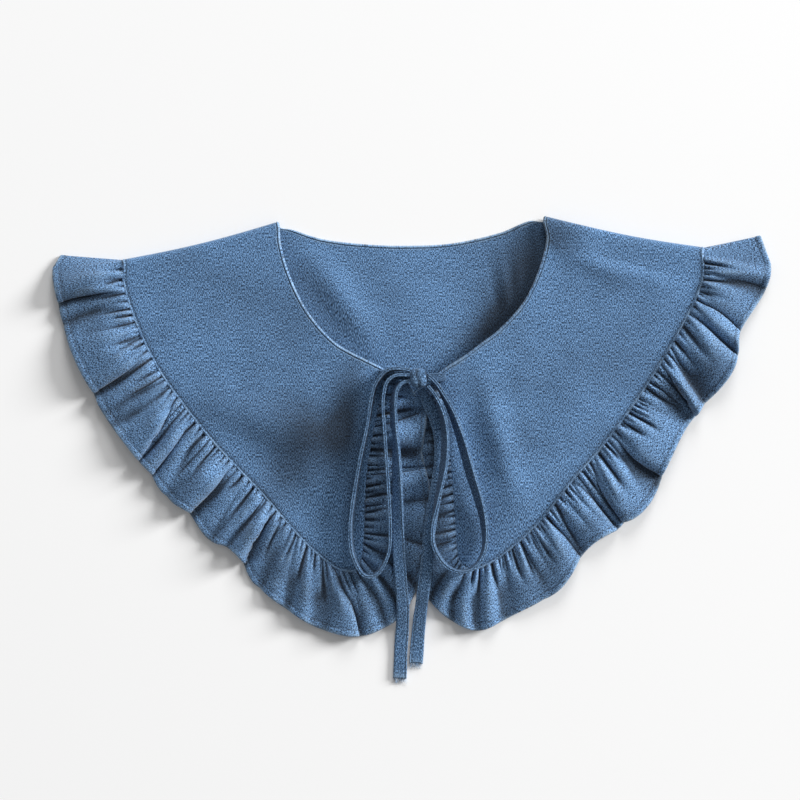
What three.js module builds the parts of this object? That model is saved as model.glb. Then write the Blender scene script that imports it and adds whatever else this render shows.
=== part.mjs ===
// A detachable denim collar with a gathered ruffle and a tie bow, laid flat and folded at both shoulders.
// Millimetres, +Z up. It lies on z = 0 with the back underneath, the two fronts on top and the neck towards +Y.
import * as THREE from "three";

// Cloth
const PANEL_THICKNESS = 1.6; // two layers of denim, turned at the neck edge
const RUFFLE_THICKNESS = 1.1; // one layer with a stitched hem
const TIE_WIDTH = 8.4;
const TIE_THICKNESS = 2;
const SEAM_GAP = 0.9; // between the panel's edge and the gathered edge of the ruffle
const DENIM_BLUE = 0x53759a;
const DENIM_LIGHT = 0x5d7ca0;
const DENIM_DEEP = 0x42617f;

// Fineness of the meshes
const PANEL_STEPS_PER_ROW = 3;
const PANEL_STEPS_ACROSS = 6;
const RUFFLE_STEPS_PER_FOLD = 5;
const RUFFLE_STEPS_ACROSS = 3;
const SHOULDER_ROWS = 5;
const TIE_STEPS_PER_ROW = 2;

// The back lies flat on the surface, and each shoulder rolls over it from there up to the front.
const BACK_LEVEL = PANEL_THICKNESS / 2;
const SHOULDER_LEVEL = 7.2;
const RUFFLE_LEVEL = 0.7; // the lowest that the ruffle's middle lies
const BACK_RUFFLE_REST = 0.7;
const BACK_RUFFLE_CREST = 2.3;
const BACK_RUFFLE_REACH = 40;
const BACK_RUFFLE_FOLDS = 16;

// A front's rows run from the centre front to the shoulder. Each gives the neck edge and the seam edge, with the
// height of the cloth's middle at both.
const FRONT_COLUMNS = "neckX neckY neckZ seamX seamY seamZ";
const LEFT_FRONT = table(FRONT_COLUMNS, [
  [-18.5, 39.5, 10.5, -34.6, -91.3, 5.0],
  [-21.3, 41.3, 11.0, -38.1, -99.8, 4.8],
  [-26.9, 44.1, 11.5, -49.3, -100.4, 4.8],
  [-34.6, 47.9, 12.0, -64.8, -89.9, 5.2],
  [-43.0, 52.1, 12.0, -80.8, -74.5, 5.8],
  [-54.5, 59.3, 12.0, -103.0, -48.8, 6.6],
  [-73.1, 80.5, 11.0, -145.2, -3.1, 7.4],
  [-85.8, 106.0, 9.5, -182.3, 49.3, 7.4],
  [-92.4, 129.2, 8.2, -201.5, 99.8, 7.2],
]);
const RIGHT_FRONT = table(FRONT_COLUMNS, [
  [18.5, 36.8, 10.5, 32.5, -92.8, 5.0],
  [21.3, 39.2, 11.0, 39.5, -99.8, 4.8],
  [24.8, 41.6, 11.5, 54.9, -95.5, 4.8],
  [30.4, 45.1, 12.0, 72.4, -82.9, 5.4],
  [38.1, 50.0, 12.0, 90.6, -65.5, 6.2],
  [49.3, 58.4, 12.0, 112.3, -38.1, 7.0],
  [61.2, 67.5, 11.6, 135.4, -11.5, 7.4],
  [81.5, 91.3, 10.4, 171.8, 40.2, 7.4],
  [95.2, 131.2, 8.2, 204.0, 103.2, 7.2],
]);
// The back's rows run from the left shoulder to the right one.
const BACK = table("neckX neckY seamX seamY", [
  [-84.5, 136.5, -186.0, 80.0],
  [-64.0, 131.0, -144.5, 24.0],
  [-29.0, 127.0, -65.5, -23.5],
  [-0.5, 126.3, -0.5, -33.0],
  [28.5, 128.0, 65.0, -20.5],
  [63.5, 135.5, 141.0, 30.5],
  [83.5, 142.5, 185.0, 86.0],
]);
// The outermost line of each shoulder's roll, and of the ruffle's roll beyond it.
const LEFT_SHOULDER = { neckX: -93.8, neckY: 144.2, seamX: -202.2, seamY: 117.0, hemX: -250.0, hemY: 121.0 };
const RIGHT_SHOULDER = { neckX: 93.6, neckY: 148.4, seamX: 204.4, seamY: 126.0, hemX: 246.0, hemY: 134.5 };

// The centre-front edges bow away from the straight between neck and corner.
const LEFT_CENTRE_BOW = -4;
const RIGHT_CENTRE_BOW = 2;
const CENTRE_BOW_ROWS = 4; // rows over which the bow fades out

// Soft swells and dents of the fronts: centre, direction in degrees, half-length, half-width and rise.
const SWELLS = table("x y turn length width rise", [
  [-40, 5, 80, 45, 11, -1.6],
  [-72, 10, 60, 50, 18, 1.3],
  [-118, 30, 40, 40, 22, -1.2],
  [-140, 75, 20, 50, 20, 1.0],
  [46, -6, 100, 50, 11, -1.8],
  [72, -8, 115, 50, 14, 1.5],
  [96, 40, 130, 40, 18, -1.2],
  [150, 80, 160, 45, 20, 1.0],
]);

// The ruffle's folds on each front, from the neck corner down the centre front and round to the shoulder. Each row
// is a valley: how far along the seam it starts, where it meets the hem, its height there, and the height of the
// crest between it and the next row.
const FOLD_COLUMNS = "along hemX hemY rest crest";
const LEFT_FOLDS = table(FOLD_COLUMNS, [
  [4, -2.4, 31.1, 11.0, 12.4],
  [17, 6.6, 22.8, 10.4, 13.0],
  [39, 10.1, 12.2, 10.0, 13.6],
  [56, 6.6, -19.9, 9.6, 13.4],
  [76, 8.8, -28.3, 9.4, 13.2],
  [97, 12.9, -50.8, 8.8, 12.6],
  [116, 11.5, -84.3, 7.4, 10.0],
  [127, 3.1, -113.0, 4.4, 7.6],
  [136, -8.0, -131.9, 1.4, 6.0],
  [145, -29.7, -144.5, 1.0, 6.4],
  [155, -55.6, -144.5, 1.0, 7.6],
  [170, -79.4, -131.2, 1.0, 8.4],
  [191, -104.6, -113.0, 1.2, 9.0],
  [217, -117.9, -92.8, 1.6, 9.6],
  [243, -138.2, -80.8, 2.4, 9.6],
  [268, -157.8, -58.4, 3.0, 9.8],
  [301, -182.3, -34.6, 3.2, 9.0],
  [321, -194.2, -22.0, 3.4, 9.4],
  [339, -208.9, -3.8, 3.6, 9.8],
  [356, -222.2, 22.8, 4.0, 9.6],
  [381, -235.5, 52.8, 4.4, 8.6],
  [391, -241.1, 67.5, 4.8, 8.4],
  [406, -247.4, 89.2, 5.2, 7.6],
]);
const RIGHT_FOLDS = table(FOLD_COLUMNS, [
  [4, 5.9, 27.6, 6.4, 7.4],
  [18, -4.5, 15.7, 6.0, 7.2],
  [39, -9.4, -8.8, 5.0, 6.4],
  [64, -10.8, -33.2, 4.4, 5.4],
  [88, -10.8, -61.2, 4.0, 4.8],
  [116, -6.6, -92.8, 2.6, 3.4],
  [131, 9.4, -120.7, 1.0, 4.6],
  [141, 24.8, -134.8, 1.0, 6.4],
  [152, 47.9, -142.4, 1.0, 7.4],
  [165, 65.5, -134.0, 1.0, 8.4],
  [179, 89.2, -122.1, 1.0, 8.8],
  [194, 109.5, -110.9, 1.2, 9.0],
  [210, 122.8, -86.4, 1.6, 9.4],
  [226, 136.8, -73.8, 2.0, 9.6],
  [242, 148.8, -66.8, 2.4, 9.6],
  [260, 159.9, -58.4, 2.8, 9.8],
  [277, 175.3, -32.5, 3.2, 9.8],
  [297, 185.1, -12.9, 3.4, 9.6],
  [317, 197.0, 5.9, 3.6, 9.8],
  [335, 214.5, 26.2, 4.0, 9.4],
  [351, 227.8, 56.3, 4.4, 9.2],
  [370, 237.6, 76.6, 4.8, 8.6],
  [390, 247.4, 96.2, 5.2, 7.8],
]);

// The bow. A row is a point on the middle of a tie, and its turn about its own length: 0 lies flat, 90 stands on edge.
const TIE_COLUMNS = "x y z turn";
const KNOT_CENTRE = new THREE.Vector3(4.9, 34.6, 19.6);
const KNOT_SIZE = new THREE.Vector3(10.4, 12.6, 10.8);
const KNOT_SQUARENESS = 0.6; // 1 is an ellipsoid, and less is a rounded box
const LEFT_ROOT = table(TIE_COLUMNS, [
  [-22.5, 37.4, 13.4, 0],
  [-16.0, 37.6, 13.6, 0],
  [-8.0, 36.8, 14.0, 0],
  [-1.2, 36.2, 14.6, 0],
]);
const RIGHT_ROOT = table(TIE_COLUMNS, [
  [24.0, 35.2, 13.4, 0],
  [19.0, 35.0, 13.8, 0],
  [14.0, 34.8, 14.0, 0],
  [10.8, 34.8, 14.2, 0],
]);
const LEFT_LOOP = table(TIE_COLUMNS, [
  [-1.2, 40.0, 20.6, 86],
  [-8.7, 41.0, 20.4, 84],
  [-15.0, 40.3, 20.0, 82],
  [-19.8, 37.3, 19.4, 82],
  [-23.2, 33.0, 18.8, 82],
  [-26.0, 27.0, 18.2, 82],
  [-31.2, -1.8, 16.8, 84],
  [-35.4, -20.7, 15.4, 84],
  [-41.0, -55.0, 13.6, 82],
  [-42.4, -69.7, 13.0, 80],
  [-41.7, -85.1, 12.6, 80],
  [-38.2, -95.6, 13.4, 82],
  [-33.3, -102.6, 14.2, 84],
  [-28.6, -103.8, 14.4, 84],
  [-23.8, -101.6, 14.8, 84],
  [-19.4, -95.6, 15.2, 86],
  [-15.8, -86.0, 15.8, 88],
  [-14.9, -69.7, 17.6, 90],
  [-16.3, -39.6, 19.4, 90],
  [-17.8, -17.2, 19.6, 90],
  [-19.3, 4.6, 19.6, 90],
  [-20.0, 15.1, 19.8, 90],
  [-19.3, 24.2, 20.0, 90],
  [-17.0, 32.0, 20.2, 90],
  [-11.6, 36.2, 20.4, 90],
  [-1.2, 36.6, 20.6, 90],
]);
const LEFT_TAIL = table(TIE_COLUMNS, [
  [-1.4, 32.6, 20.4, 90],
  [-6.4, 31.6, 20.2, 86],
  [-10.6, 27.0, 19.8, 80],
  [-12.4, 18.0, 19.2, 74],
  [-12.3, 4.6, 18.6, 68],
  [-10.6, -18.0, 18.2, 62],
  [-9.9, -39.6, 17.6, 48],
  [-9.6, -62.7, 16.0, 22],
  [-9.0, -85.1, 13.6, 4],
  [-7.4, -108.2, 10.4, 0],
  [-6.0, -127.1, 7.0, 0],
  [-6.4, -139.7, 3.6, 0],
  [-7.4, -155.1, 1.6, 0],
  [-8.1, -176.1, 1.4, 0],
]);
const RIGHT_LOOP = table(TIE_COLUMNS, [
  [11.4, 36.6, 20.8, 90],
  [17.2, 30.6, 20.4, 94],
  [22.6, 21.4, 19.6, 98],
  [28.0, 10.6, 18.6, 104],
  [33.0, -3.2, 17.6, 110],
  [36.8, -16.6, 16.6, 118],
  [41.6, -33.6, 15.4, 126],
  [46.4, -49.0, 14.4, 130],
  [49.9, -61.8, 13.6, 128],
  [51.4, -74.4, 13.2, 122],
  [50.6, -86.0, 13.4, 112],
  [47.0, -93.8, 13.8, 102],
  [40.3, -99.6, 14.2, 96],
  [32.6, -100.4, 14.6, 94],
  [25.4, -97.2, 15.2, 96],
  [19.4, -90.4, 17.2, 104],
  [15.4, -81.6, 19.0, 120],
  [14.6, -69.7, 19.0, 142],
  [17.2, -55.0, 19.8, 152],
  [20.4, -38.2, 20.2, 150],
  [22.8, -24.2, 20.4, 140],
  [23.5, -9.5, 20.6, 122],
  [22.6, 4.0, 20.6, 104],
  [19.6, 15.0, 21.0, 94],
  [15.8, 23.4, 21.4, 90],
  [11.4, 29.0, 21.4, 90],
]);
const RIGHT_TAIL = table(TIE_COLUMNS, [
  [6.4, 26.6, 16.0, 0],
  [9.0, 22.0, 15.9, 0],
  [13.2, 14.0, 15.4, 0],
  [17.4, 3.6, 14.4, 0],
  [19.8, -8.8, 13.8, 0],
  [19.8, -24.2, 14.0, 0],
  [17.6, -41.0, 14.6, 0],
  [14.8, -57.8, 14.8, 0],
  [12.3, -73.9, 14.0, 0],
  [10.9, -92.8, 11.8, 0],
  [8.4, -113.8, 8.2, 0],
  [6.7, -127.1, 4.6, 0],
  [4.8, -144.0, 1.6, 0],
  [3.2, -165.6, 1.4, 0],
]);

// Rows of numbers as objects with named columns
function table(columns, rows) {
  const names = columns.split(" ");
  return rows.map((row) => Object.fromEntries(names.map((name, i) => [name, row[i]])));
}

function curveThrough(rows, x, y, z) {
  const points = rows.map((row) => new THREE.Vector3(row[x], row[y], row[z]));
  return new THREE.CatmullRomCurve3(points, false, "centripetal");
}

// A column of a table at a place between its rows
function columnAt(rows, name, place) {
  const row = Math.min(Math.floor(place), rows.length - 2);
  return THREE.MathUtils.lerp(rows[row][name], rows[row + 1][name], place - row);
}

// A half roll about a line in plan, as rows from one level to the other
function rolledRows(line, ends, fromLevel, toLevel) {
  const along = new THREE.Vector2(line[ends[1] + "X"] - line[ends[0] + "X"], line[ends[1] + "Y"] - line[ends[0] + "Y"]);
  const inward = new THREE.Vector2(-along.y, along.x).normalize();
  if (inward.y > 0) inward.negate();
  const radius = (fromLevel - toLevel) / 2;
  const rows = [];
  for (let i = 0; i < SHOULDER_ROWS; i++) {
    const angle = (Math.PI * i) / (SHOULDER_ROWS - 1);
    const inset = Math.abs(radius) * (1 - Math.sin(angle));
    const height = (fromLevel + toLevel) / 2 + radius * Math.cos(angle);
    const row = {};
    for (const end of ends) {
      row[end + "X"] = line[end + "X"] + inward.x * inset;
      row[end + "Y"] = line[end + "Y"] + inward.y * inset;
      row[end + "Z"] = height;
    }
    rows.push(row);
  }
  return rows;
}

// A wall of even thickness about a grid of points. Rows run along the cloth, and each row runs across it.
function wall(grid, thickness) {
  const rows = grid.length;
  const across = grid[0].length;
  const sides = [1, -1];
  const positions = [];
  for (const side of sides)
    for (let i = 0; i < rows; i++)
      for (let j = 0; j < across; j++) {
        const along = grid[Math.min(i + 1, rows - 1)][j].clone().sub(grid[Math.max(i - 1, 0)][j]);
        const over = grid[i][Math.min(j + 1, across - 1)].clone().sub(grid[i][Math.max(j - 1, 0)]);
        const normal = along.cross(over).normalize();
        positions.push(...grid[i][j].clone().addScaledVector(normal, (side * thickness) / 2).toArray());
      }
  const vertex = (side, i, j) => side * rows * across + i * across + j;
  const index = [];
  const quad = (a, b, c, d) => index.push(a, b, c, a, c, d);
  for (let i = 0; i + 1 < rows; i++) {
    for (let j = 0; j + 1 < across; j++) {
      quad(vertex(0, i, j), vertex(0, i + 1, j), vertex(0, i + 1, j + 1), vertex(0, i, j + 1));
      quad(vertex(1, i, j), vertex(1, i, j + 1), vertex(1, i + 1, j + 1), vertex(1, i + 1, j));
    }
    quad(vertex(0, i, 0), vertex(1, i, 0), vertex(1, i + 1, 0), vertex(0, i + 1, 0));
    const edge = across - 1;
    quad(vertex(0, i, edge), vertex(0, i + 1, edge), vertex(1, i + 1, edge), vertex(1, i, edge));
  }
  for (let j = 0; j + 1 < across; j++) {
    quad(vertex(0, 0, j), vertex(0, 0, j + 1), vertex(1, 0, j + 1), vertex(1, 0, j));
    const end = rows - 1;
    quad(vertex(0, end, j), vertex(1, end, j), vertex(1, end, j + 1), vertex(0, end, j + 1));
  }
  return closedGeometry(positions, index);
}

function closedGeometry(positions, index) {
  const geometry = new THREE.BufferGeometry();
  geometry.setAttribute("position", new THREE.Float32BufferAttribute(positions, 3));
  geometry.setIndex(index);
  geometry.computeVertexNormals();
  return geometry;
}

// The panel's rows in order: left front, left shoulder, back, right shoulder, right front
function panelRows() {
  const back = BACK.map((row) => ({ ...row, neckZ: BACK_LEVEL, seamZ: BACK_LEVEL }));
  const ends = ["neck", "seam"];
  return [
    ...LEFT_FRONT,
    ...rolledRows(LEFT_SHOULDER, ends, SHOULDER_LEVEL, BACK_LEVEL),
    ...back,
    ...rolledRows(RIGHT_SHOULDER, ends, BACK_LEVEL, SHOULDER_LEVEL),
    ...RIGHT_FRONT.toReversed(),
  ];
}

function swell(x, y) {
  let rise = 0;
  for (const row of SWELLS) {
    const turn = THREE.MathUtils.degToRad(row.turn);
    const along = (x - row.x) * Math.cos(turn) + (y - row.y) * Math.sin(turn);
    const over = (y - row.y) * Math.cos(turn) - (x - row.x) * Math.sin(turn);
    rise += row.rise * Math.exp(-((along / row.length) ** 2) - (over / row.width) ** 2);
  }
  return rise;
}

// The cloth's middle as a function of the place between rows and the share across from neck to seam
function panelSurface() {
  const rows = panelRows();
  const last = rows.length - 1;
  const neck = curveThrough(rows, "neckX", "neckY", "neckZ");
  const seam = curveThrough(rows, "seamX", "seamY", "seamZ");
  const frontEnd = LEFT_FRONT.length - 1;
  return {
    last,
    at(place, share) {
      const point = neck.getPoint(place / last).lerp(seam.getPoint(place / last), share);
      const fromCentre = Math.min(place, last - place);
      const bow = place < last / 2 ? LEFT_CENTRE_BOW : RIGHT_CENTRE_BOW;
      const bowFade = Math.max(0, 1 - fromCentre / CENTRE_BOW_ROWS);
      point.x += bow * bowFade * Math.sin(Math.PI * share) ** 2;
      const frontFade = THREE.MathUtils.smoothstep(frontEnd - fromCentre, 0, 1);
      const inside = Math.sin(Math.PI * share);
      point.z += swell(point.x, point.y) * frontFade * inside;
      point.z = Math.max(point.z, BACK_LEVEL);
      return point;
    },
  };
}

function panelGrid(surface) {
  const grid = [];
  const steps = surface.last * PANEL_STEPS_PER_ROW;
  for (let i = 0; i <= steps; i++) {
    const line = [];
    for (let j = 0; j <= PANEL_STEPS_ACROSS; j++)
      line.push(surface.at(i / PANEL_STEPS_PER_ROW, j / PANEL_STEPS_ACROSS));
    grid.push(line);
  }
  return grid;
}

// The sewn edge: down the left centre front, along the whole seam, and up the right centre front
function sewnEdge(grid) {
  const end = grid.length - 1;
  const points = [...grid[0], ...grid.slice(1, end).map((line) => line.at(-1)), ...grid[end].toReversed()];
  const lengths = [0];
  for (let i = 1; i < points.length; i++) lengths.push(lengths[i - 1] + points[i].distanceTo(points[i - 1]));
  const total = lengths.at(-1);
  const cornerIndex = grid[0].length - 1;
  return {
    total,
    lengthAtPlace: (place) => lengths[cornerIndex + place * PANEL_STEPS_PER_ROW],
    at(length) {
      const clamped = THREE.MathUtils.clamp(length, 0, total);
      const next = Math.max(1, lengths.findIndex((value) => value >= clamped));
      const share = (clamped - lengths[next - 1]) / (lengths[next] - lengths[next - 1]);
      return points[next - 1].clone().lerp(points[next], share);
    },
  };
}

// Evenly spread folds for the back, which lies under the fronts
function backFolds(edge, from, to) {
  const rows = [];
  for (let i = 1; i < BACK_RUFFLE_FOLDS; i++) {
    const along = THREE.MathUtils.lerp(from, to, i / BACK_RUFFLE_FOLDS);
    const seam = edge.at(along);
    const direction = edge.at(along + 2).sub(edge.at(along - 2));
    const outward = new THREE.Vector3(direction.y, -direction.x, 0).normalize();
    const hem = seam.clone().addScaledVector(outward, BACK_RUFFLE_REACH);
    rows.push({ along, hemX: hem.x, hemY: hem.y, rest: BACK_RUFFLE_REST, crest: BACK_RUFFLE_CREST });
  }
  return rows;
}

// The ruffle's rows over a shoulder, where it rolls with the panel and has no crests
function shoulderFolds(line, edge, firstPlace, fromLevel, toLevel) {
  return rolledRows(line, ["seam", "hem"], fromLevel, toLevel).map((row, i) => ({
    along: edge.lengthAtPlace(firstPlace + i),
    hemX: row.hemX,
    hemY: row.hemY,
    rest: row.hemZ,
    crest: row.hemZ,
  }));
}

function ruffleRows(surface, edge) {
  const leftRoll = LEFT_FRONT.length;
  const rightRoll = surface.last - RIGHT_FRONT.length - SHOULDER_ROWS + 1;
  const leftEnd = edge.lengthAtPlace(leftRoll + SHOULDER_ROWS - 1);
  const rightStart = edge.lengthAtPlace(rightRoll);
  const top = LEFT_FOLDS.at(-1).rest;
  return [
    ...LEFT_FOLDS,
    ...shoulderFolds(LEFT_SHOULDER, edge, leftRoll, top, BACK_RUFFLE_REST),
    ...backFolds(edge, leftEnd, rightStart),
    ...shoulderFolds(RIGHT_SHOULDER, edge, rightRoll, BACK_RUFFLE_REST, top),
    ...RIGHT_FOLDS.toReversed().map((row, i, all) => ({
      ...row,
      along: edge.total - row.along,
      crest: i + 1 < all.length ? all[i + 1].crest : row.crest,
    })),
  ];
}

function ruffleGrid(surface, edge) {
  const rows = ruffleRows(surface, edge);
  const last = rows.length - 1;
  const hem = curveThrough(rows, "hemX", "hemY", "rest");
  const grid = [];
  for (let i = 0; i <= last * RUFFLE_STEPS_PER_FOLD; i++) {
    const place = i / RUFFLE_STEPS_PER_FOLD;
    const row = rows[Math.floor(place)];
    const seamPoint = edge.at(columnAt(rows, "along", place));
    const hemPoint = hem.getPoint(place / last);
    const outward = hemPoint.clone().sub(seamPoint).normalize();
    const start = seamPoint.addScaledVector(outward, SEAM_GAP);
    const wave = (row.crest - row.rest) * Math.sin(Math.PI * place) ** 2;
    const line = [];
    for (let j = 0; j <= RUFFLE_STEPS_ACROSS; j++) {
      const share = j / RUFFLE_STEPS_ACROSS;
      const point = start.clone().lerp(hemPoint, share);
      point.z = Math.max(point.z + wave * share, RUFFLE_LEVEL);
      line.push(point);
    }
    grid.push(line);
  }
  return grid;
}

// A flat tie along its rows, with softly turned long edges
function tie(rows) {
  const path = curveThrough(rows, "x", "y", "z");
  const steps = (rows.length - 1) * TIE_STEPS_PER_ROW;
  const halfWidth = TIE_WIDTH / 2;
  const halfThickness = TIE_THICKNESS / 2;
  const flatHalf = halfWidth - halfThickness / 2;
  const quarter = [
    [halfWidth, halfThickness / 2],
    [flatHalf, halfThickness],
  ];
  const section = [
    ...quarter,
    ...quarter.toReversed().map(([w, t]) => [-w, t]),
    ...quarter.map(([w, t]) => [-w, -t]),
    ...quarter.toReversed().map(([w, t]) => [w, -t]),
  ];
  const positions = [];
  for (let i = 0; i <= steps; i++) {
    const point = path.getPoint(i / steps);
    const along = path.getTangent(i / steps);
    const turn = THREE.MathUtils.degToRad(columnAt(rows, "turn", i / TIE_STEPS_PER_ROW));
    const level = new THREE.Vector3(along.y, -along.x, 0).normalize();
    const up = level.clone().cross(along);
    const wide = level.clone().multiplyScalar(Math.cos(turn)).addScaledVector(up, Math.sin(turn));
    const thick = along.clone().cross(wide);
    for (const [w, t] of section)
      positions.push(...point.clone().addScaledVector(wide, w).addScaledVector(thick, t).toArray());
  }
  const count = section.length;
  const index = [];
  for (let i = 0; i < steps; i++)
    for (let k = 0; k < count; k++) {
      const a = i * count + k;
      const b = i * count + ((k + 1) % count);
      index.push(a, b, b + count, a, b + count, a + count);
    }
  for (let k = 1; k + 1 < count; k++) {
    index.push(0, k + 1, k);
    index.push(steps * count, steps * count + k, steps * count + k + 1);
  }
  return closedGeometry(positions, index);
}

function knot() {
  const geometry = new THREE.SphereGeometry(1, 14, 9);
  const places = geometry.attributes.position;
  const squared = (value) => Math.sign(value) * Math.abs(value) ** KNOT_SQUARENESS;
  for (let i = 0; i < places.count; i++)
    places.setXYZ(
      i,
      KNOT_CENTRE.x + (squared(places.getX(i)) * KNOT_SIZE.x) / 2,
      KNOT_CENTRE.y + (squared(places.getY(i)) * KNOT_SIZE.y) / 2,
      KNOT_CENTRE.z + (squared(places.getZ(i)) * KNOT_SIZE.z) / 2,
    );
  geometry.computeVertexNormals();
  return geometry;
}

function cloth(name, geometry, colour) {
  const mesh = new THREE.Mesh(geometry, new THREE.MeshStandardMaterial({ color: colour, roughness: 0.92, metalness: 0 }));
  mesh.name = name;
  return mesh;
}

const surface = panelSurface();
const panel = panelGrid(surface);
const edge = sewnEdge(panel);

const collar = new THREE.Group();
collar.name = "detachable_collar";
collar.add(
  cloth("collar_panel", wall(panel, PANEL_THICKNESS), DENIM_BLUE),
  cloth("ruffle", wall(ruffleGrid(surface, edge), RUFFLE_THICKNESS), DENIM_LIGHT),
  cloth("tie_knot", knot(), DENIM_LIGHT),
  cloth("tie_left_root", tie(LEFT_ROOT), DENIM_DEEP),
  cloth("tie_right_root", tie(RIGHT_ROOT), DENIM_DEEP),
  cloth("tie_left_loop", tie(LEFT_LOOP), DENIM_BLUE),
  cloth("tie_right_loop", tie(RIGHT_LOOP), DENIM_BLUE),
  cloth("tie_left_tail", tie(LEFT_TAIL), DENIM_LIGHT),
  cloth("tie_right_tail", tie(RIGHT_TAIL), DENIM_LIGHT),
);

// The origin is under the middle of what lies spread out, the panel and the ruffle.
const spread = new THREE.Box3().setFromObject(collar.getObjectByName("collar_panel"));
spread.expandByObject(collar.getObjectByName("ruffle"));
const middle = spread.getCenter(new THREE.Vector3());
collar.position.set(-middle.x, -middle.y, -spread.min.z);

export default collar;
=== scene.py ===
# A detachable denim collar with a gathered ruffle and a tie bow, laid flat and folded at both shoulders.
# Metres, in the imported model's frame. The tables are in millimetres, on the collar's plan.
import math

import bpy
import numpy as np
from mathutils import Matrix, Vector


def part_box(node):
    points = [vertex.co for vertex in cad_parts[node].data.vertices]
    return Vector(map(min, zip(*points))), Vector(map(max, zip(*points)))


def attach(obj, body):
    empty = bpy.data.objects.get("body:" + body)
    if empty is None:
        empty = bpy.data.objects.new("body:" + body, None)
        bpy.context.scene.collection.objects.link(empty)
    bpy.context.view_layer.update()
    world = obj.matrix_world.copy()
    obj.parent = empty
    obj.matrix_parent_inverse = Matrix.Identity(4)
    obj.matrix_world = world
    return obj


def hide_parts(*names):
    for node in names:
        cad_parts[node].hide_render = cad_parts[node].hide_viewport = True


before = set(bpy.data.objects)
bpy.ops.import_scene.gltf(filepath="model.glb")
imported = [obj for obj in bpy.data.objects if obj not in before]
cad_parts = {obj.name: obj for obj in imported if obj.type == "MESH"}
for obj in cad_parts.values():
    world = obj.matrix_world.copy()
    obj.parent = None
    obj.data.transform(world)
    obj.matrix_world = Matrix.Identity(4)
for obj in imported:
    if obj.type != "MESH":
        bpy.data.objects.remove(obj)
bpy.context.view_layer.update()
bpy.ops.object.select_all(action="DESELECT")

# The camera looks straight down on the collar from well above it. The picture is 560 mm across at the height
# of the cloth, and its middle lies a little to the left of the neck.
MM = 0.001
PICTURE_WIDTH = 560 * MM
PICTURE_MIDDLE = (-7.0 * MM, 17.7 * MM)
CAMERA_HEIGHT = 2.2
CLOTH_HEIGHT = 8 * MM

camera_data = bpy.data.cameras.new("camera")
camera_data.angle = 2 * math.atan(PICTURE_WIDTH / 2 / (CAMERA_HEIGHT - CLOTH_HEIGHT))
camera = bpy.data.objects.new("camera", camera_data)
camera.location = (*PICTURE_MIDDLE, CAMERA_HEIGHT)
bpy.context.collection.objects.link(camera)
bpy.context.scene.camera = camera

# The ties. Each is a strip of the same denim, folded to 8.4 mm and stitched along one edge, and sewn in at a
# neck corner. In the bow each makes one loop, which stands nearly on edge, and one tail, which ends raw and
# frayed.
TIE_WIDTH = 8.4 * MM
TIE_THICKNESS = 2.3 * MM
TIE_RING_SPACING = 1.1 * MM
TIE_PINCH = 0.34  # share of the width lost where the knot grips the tie
TIE_PINCH_REACH = 7 * MM
RAW_REACH = 3.5 * MM  # how far from its raw end a tail is rubbed pale
TAIL_SPREAD = 0.15  # share of the width gained where a tail lies open at its raw end
KNOT_CENTRE = np.array([4.9, 34.6, 19.6])
TIE_COLUMNS = "x y z turn"
LENGTH_STEPS = 60  # places for each row of a route, where its length is measured
# Slow waves in a tie's width: the share that each adds, its length over two pi, and where it starts
WIDTH_WAVES = ((0.018, 9 * MM, 0), (0.012, 3.7 * MM, 1))
THICKNESS_WAVE = 0.08
THICKNESS_WAVE_SIZE = 5.3 * MM
RAW_JAG = (-0.9, 0.5)  # how far the raw end is cut back and stands out, in millimetres

# Across half of a tie's face: the place from edge to edge, and the height. The first edge is where both sides
# were folded in, so it has two lips with a groove between them. The stitch line is a shallow groove.
TIE_SECTION_PLACE = (0.84, 0.97, 1.0, 0.98, 0.9, 0.81, 0.72, 0.62, 0.35, 0.0, -0.35, -0.7, -0.9, -0.965, -1.0)
TIE_SECTION_HEIGHT = (0.0, 0.26, 0.55, 0.86, 1.0, 0.98, 0.6, 0.96, 0.92, 0.88, 0.92, 1.0, 0.95, 0.62, 0.0)
TIE_STITCH_PLACE = 0.72
LOOP_FACE_DEPTH = 0.32  # the loops' faces are painted this much darker than their edges, as shade
# Shade painted into the stitch groove of each tie
STITCH_GROOVE_SHADE = 0.45
TIE_EDGE_PLACE = 0.88  # past this place, from the middle of the face, the edge is rubbed
RAW_WEAR = 0.9
EDGE_WEAR = 0.28
FACE_WEAR = 0.05


def table(columns, *rows):
    """Rows of numbers as one array for each named column."""
    return dict(zip(columns.split(), np.array(rows, float).T))


def joined(*tables):
    return {name: np.concatenate([part[name] for part in tables]) for name in tables[0]}


def reversed_rows(rows):
    return {name: values[::-1] for name, values in rows.items()}


def unit(vectors):
    return vectors / np.maximum(np.linalg.norm(vectors, axis=-1, keepdims=True), 1e-12)


def spline(points, places):
    """Points on the centripetal curve through the given points, at places counted in rows."""
    padded_points = np.vstack([2 * points[0] - points[1], points, 2 * points[-1] - points[-2]])
    row = np.clip(np.floor(places).astype(int), 0, len(points) - 2)
    share = (places - row)[:, None]
    before, start, end, after = (padded_points[row + k] for k in range(4))

    def knot_step(a, b):
        return np.sqrt(np.linalg.norm(b - a, axis=1, keepdims=True)) + 1e-9

    first, middle, last = knot_step(before, start), knot_step(start, end), knot_step(end, after)
    leaving = ((start - before) / first - (end - before) / (first + middle) + (end - start) / middle) * middle
    arriving = ((end - start) / middle - (after - start) / (middle + last) + (after - end) / last) * middle
    square, cube = share**2, share**3
    return (
        (2 * cube - 3 * square + 1) * start
        + (cube - 2 * square + share) * leaving
        + (3 * square - 2 * cube) * end
        + (cube - square) * arriving
    )


def columns_of(rows, *names):
    return np.stack([rows[name] for name in names], axis=1)


def lengths_along(points):
    steps = np.linalg.norm(np.diff(points, axis=0), axis=1)
    return np.concatenate([[0], np.cumsum(steps)])


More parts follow.
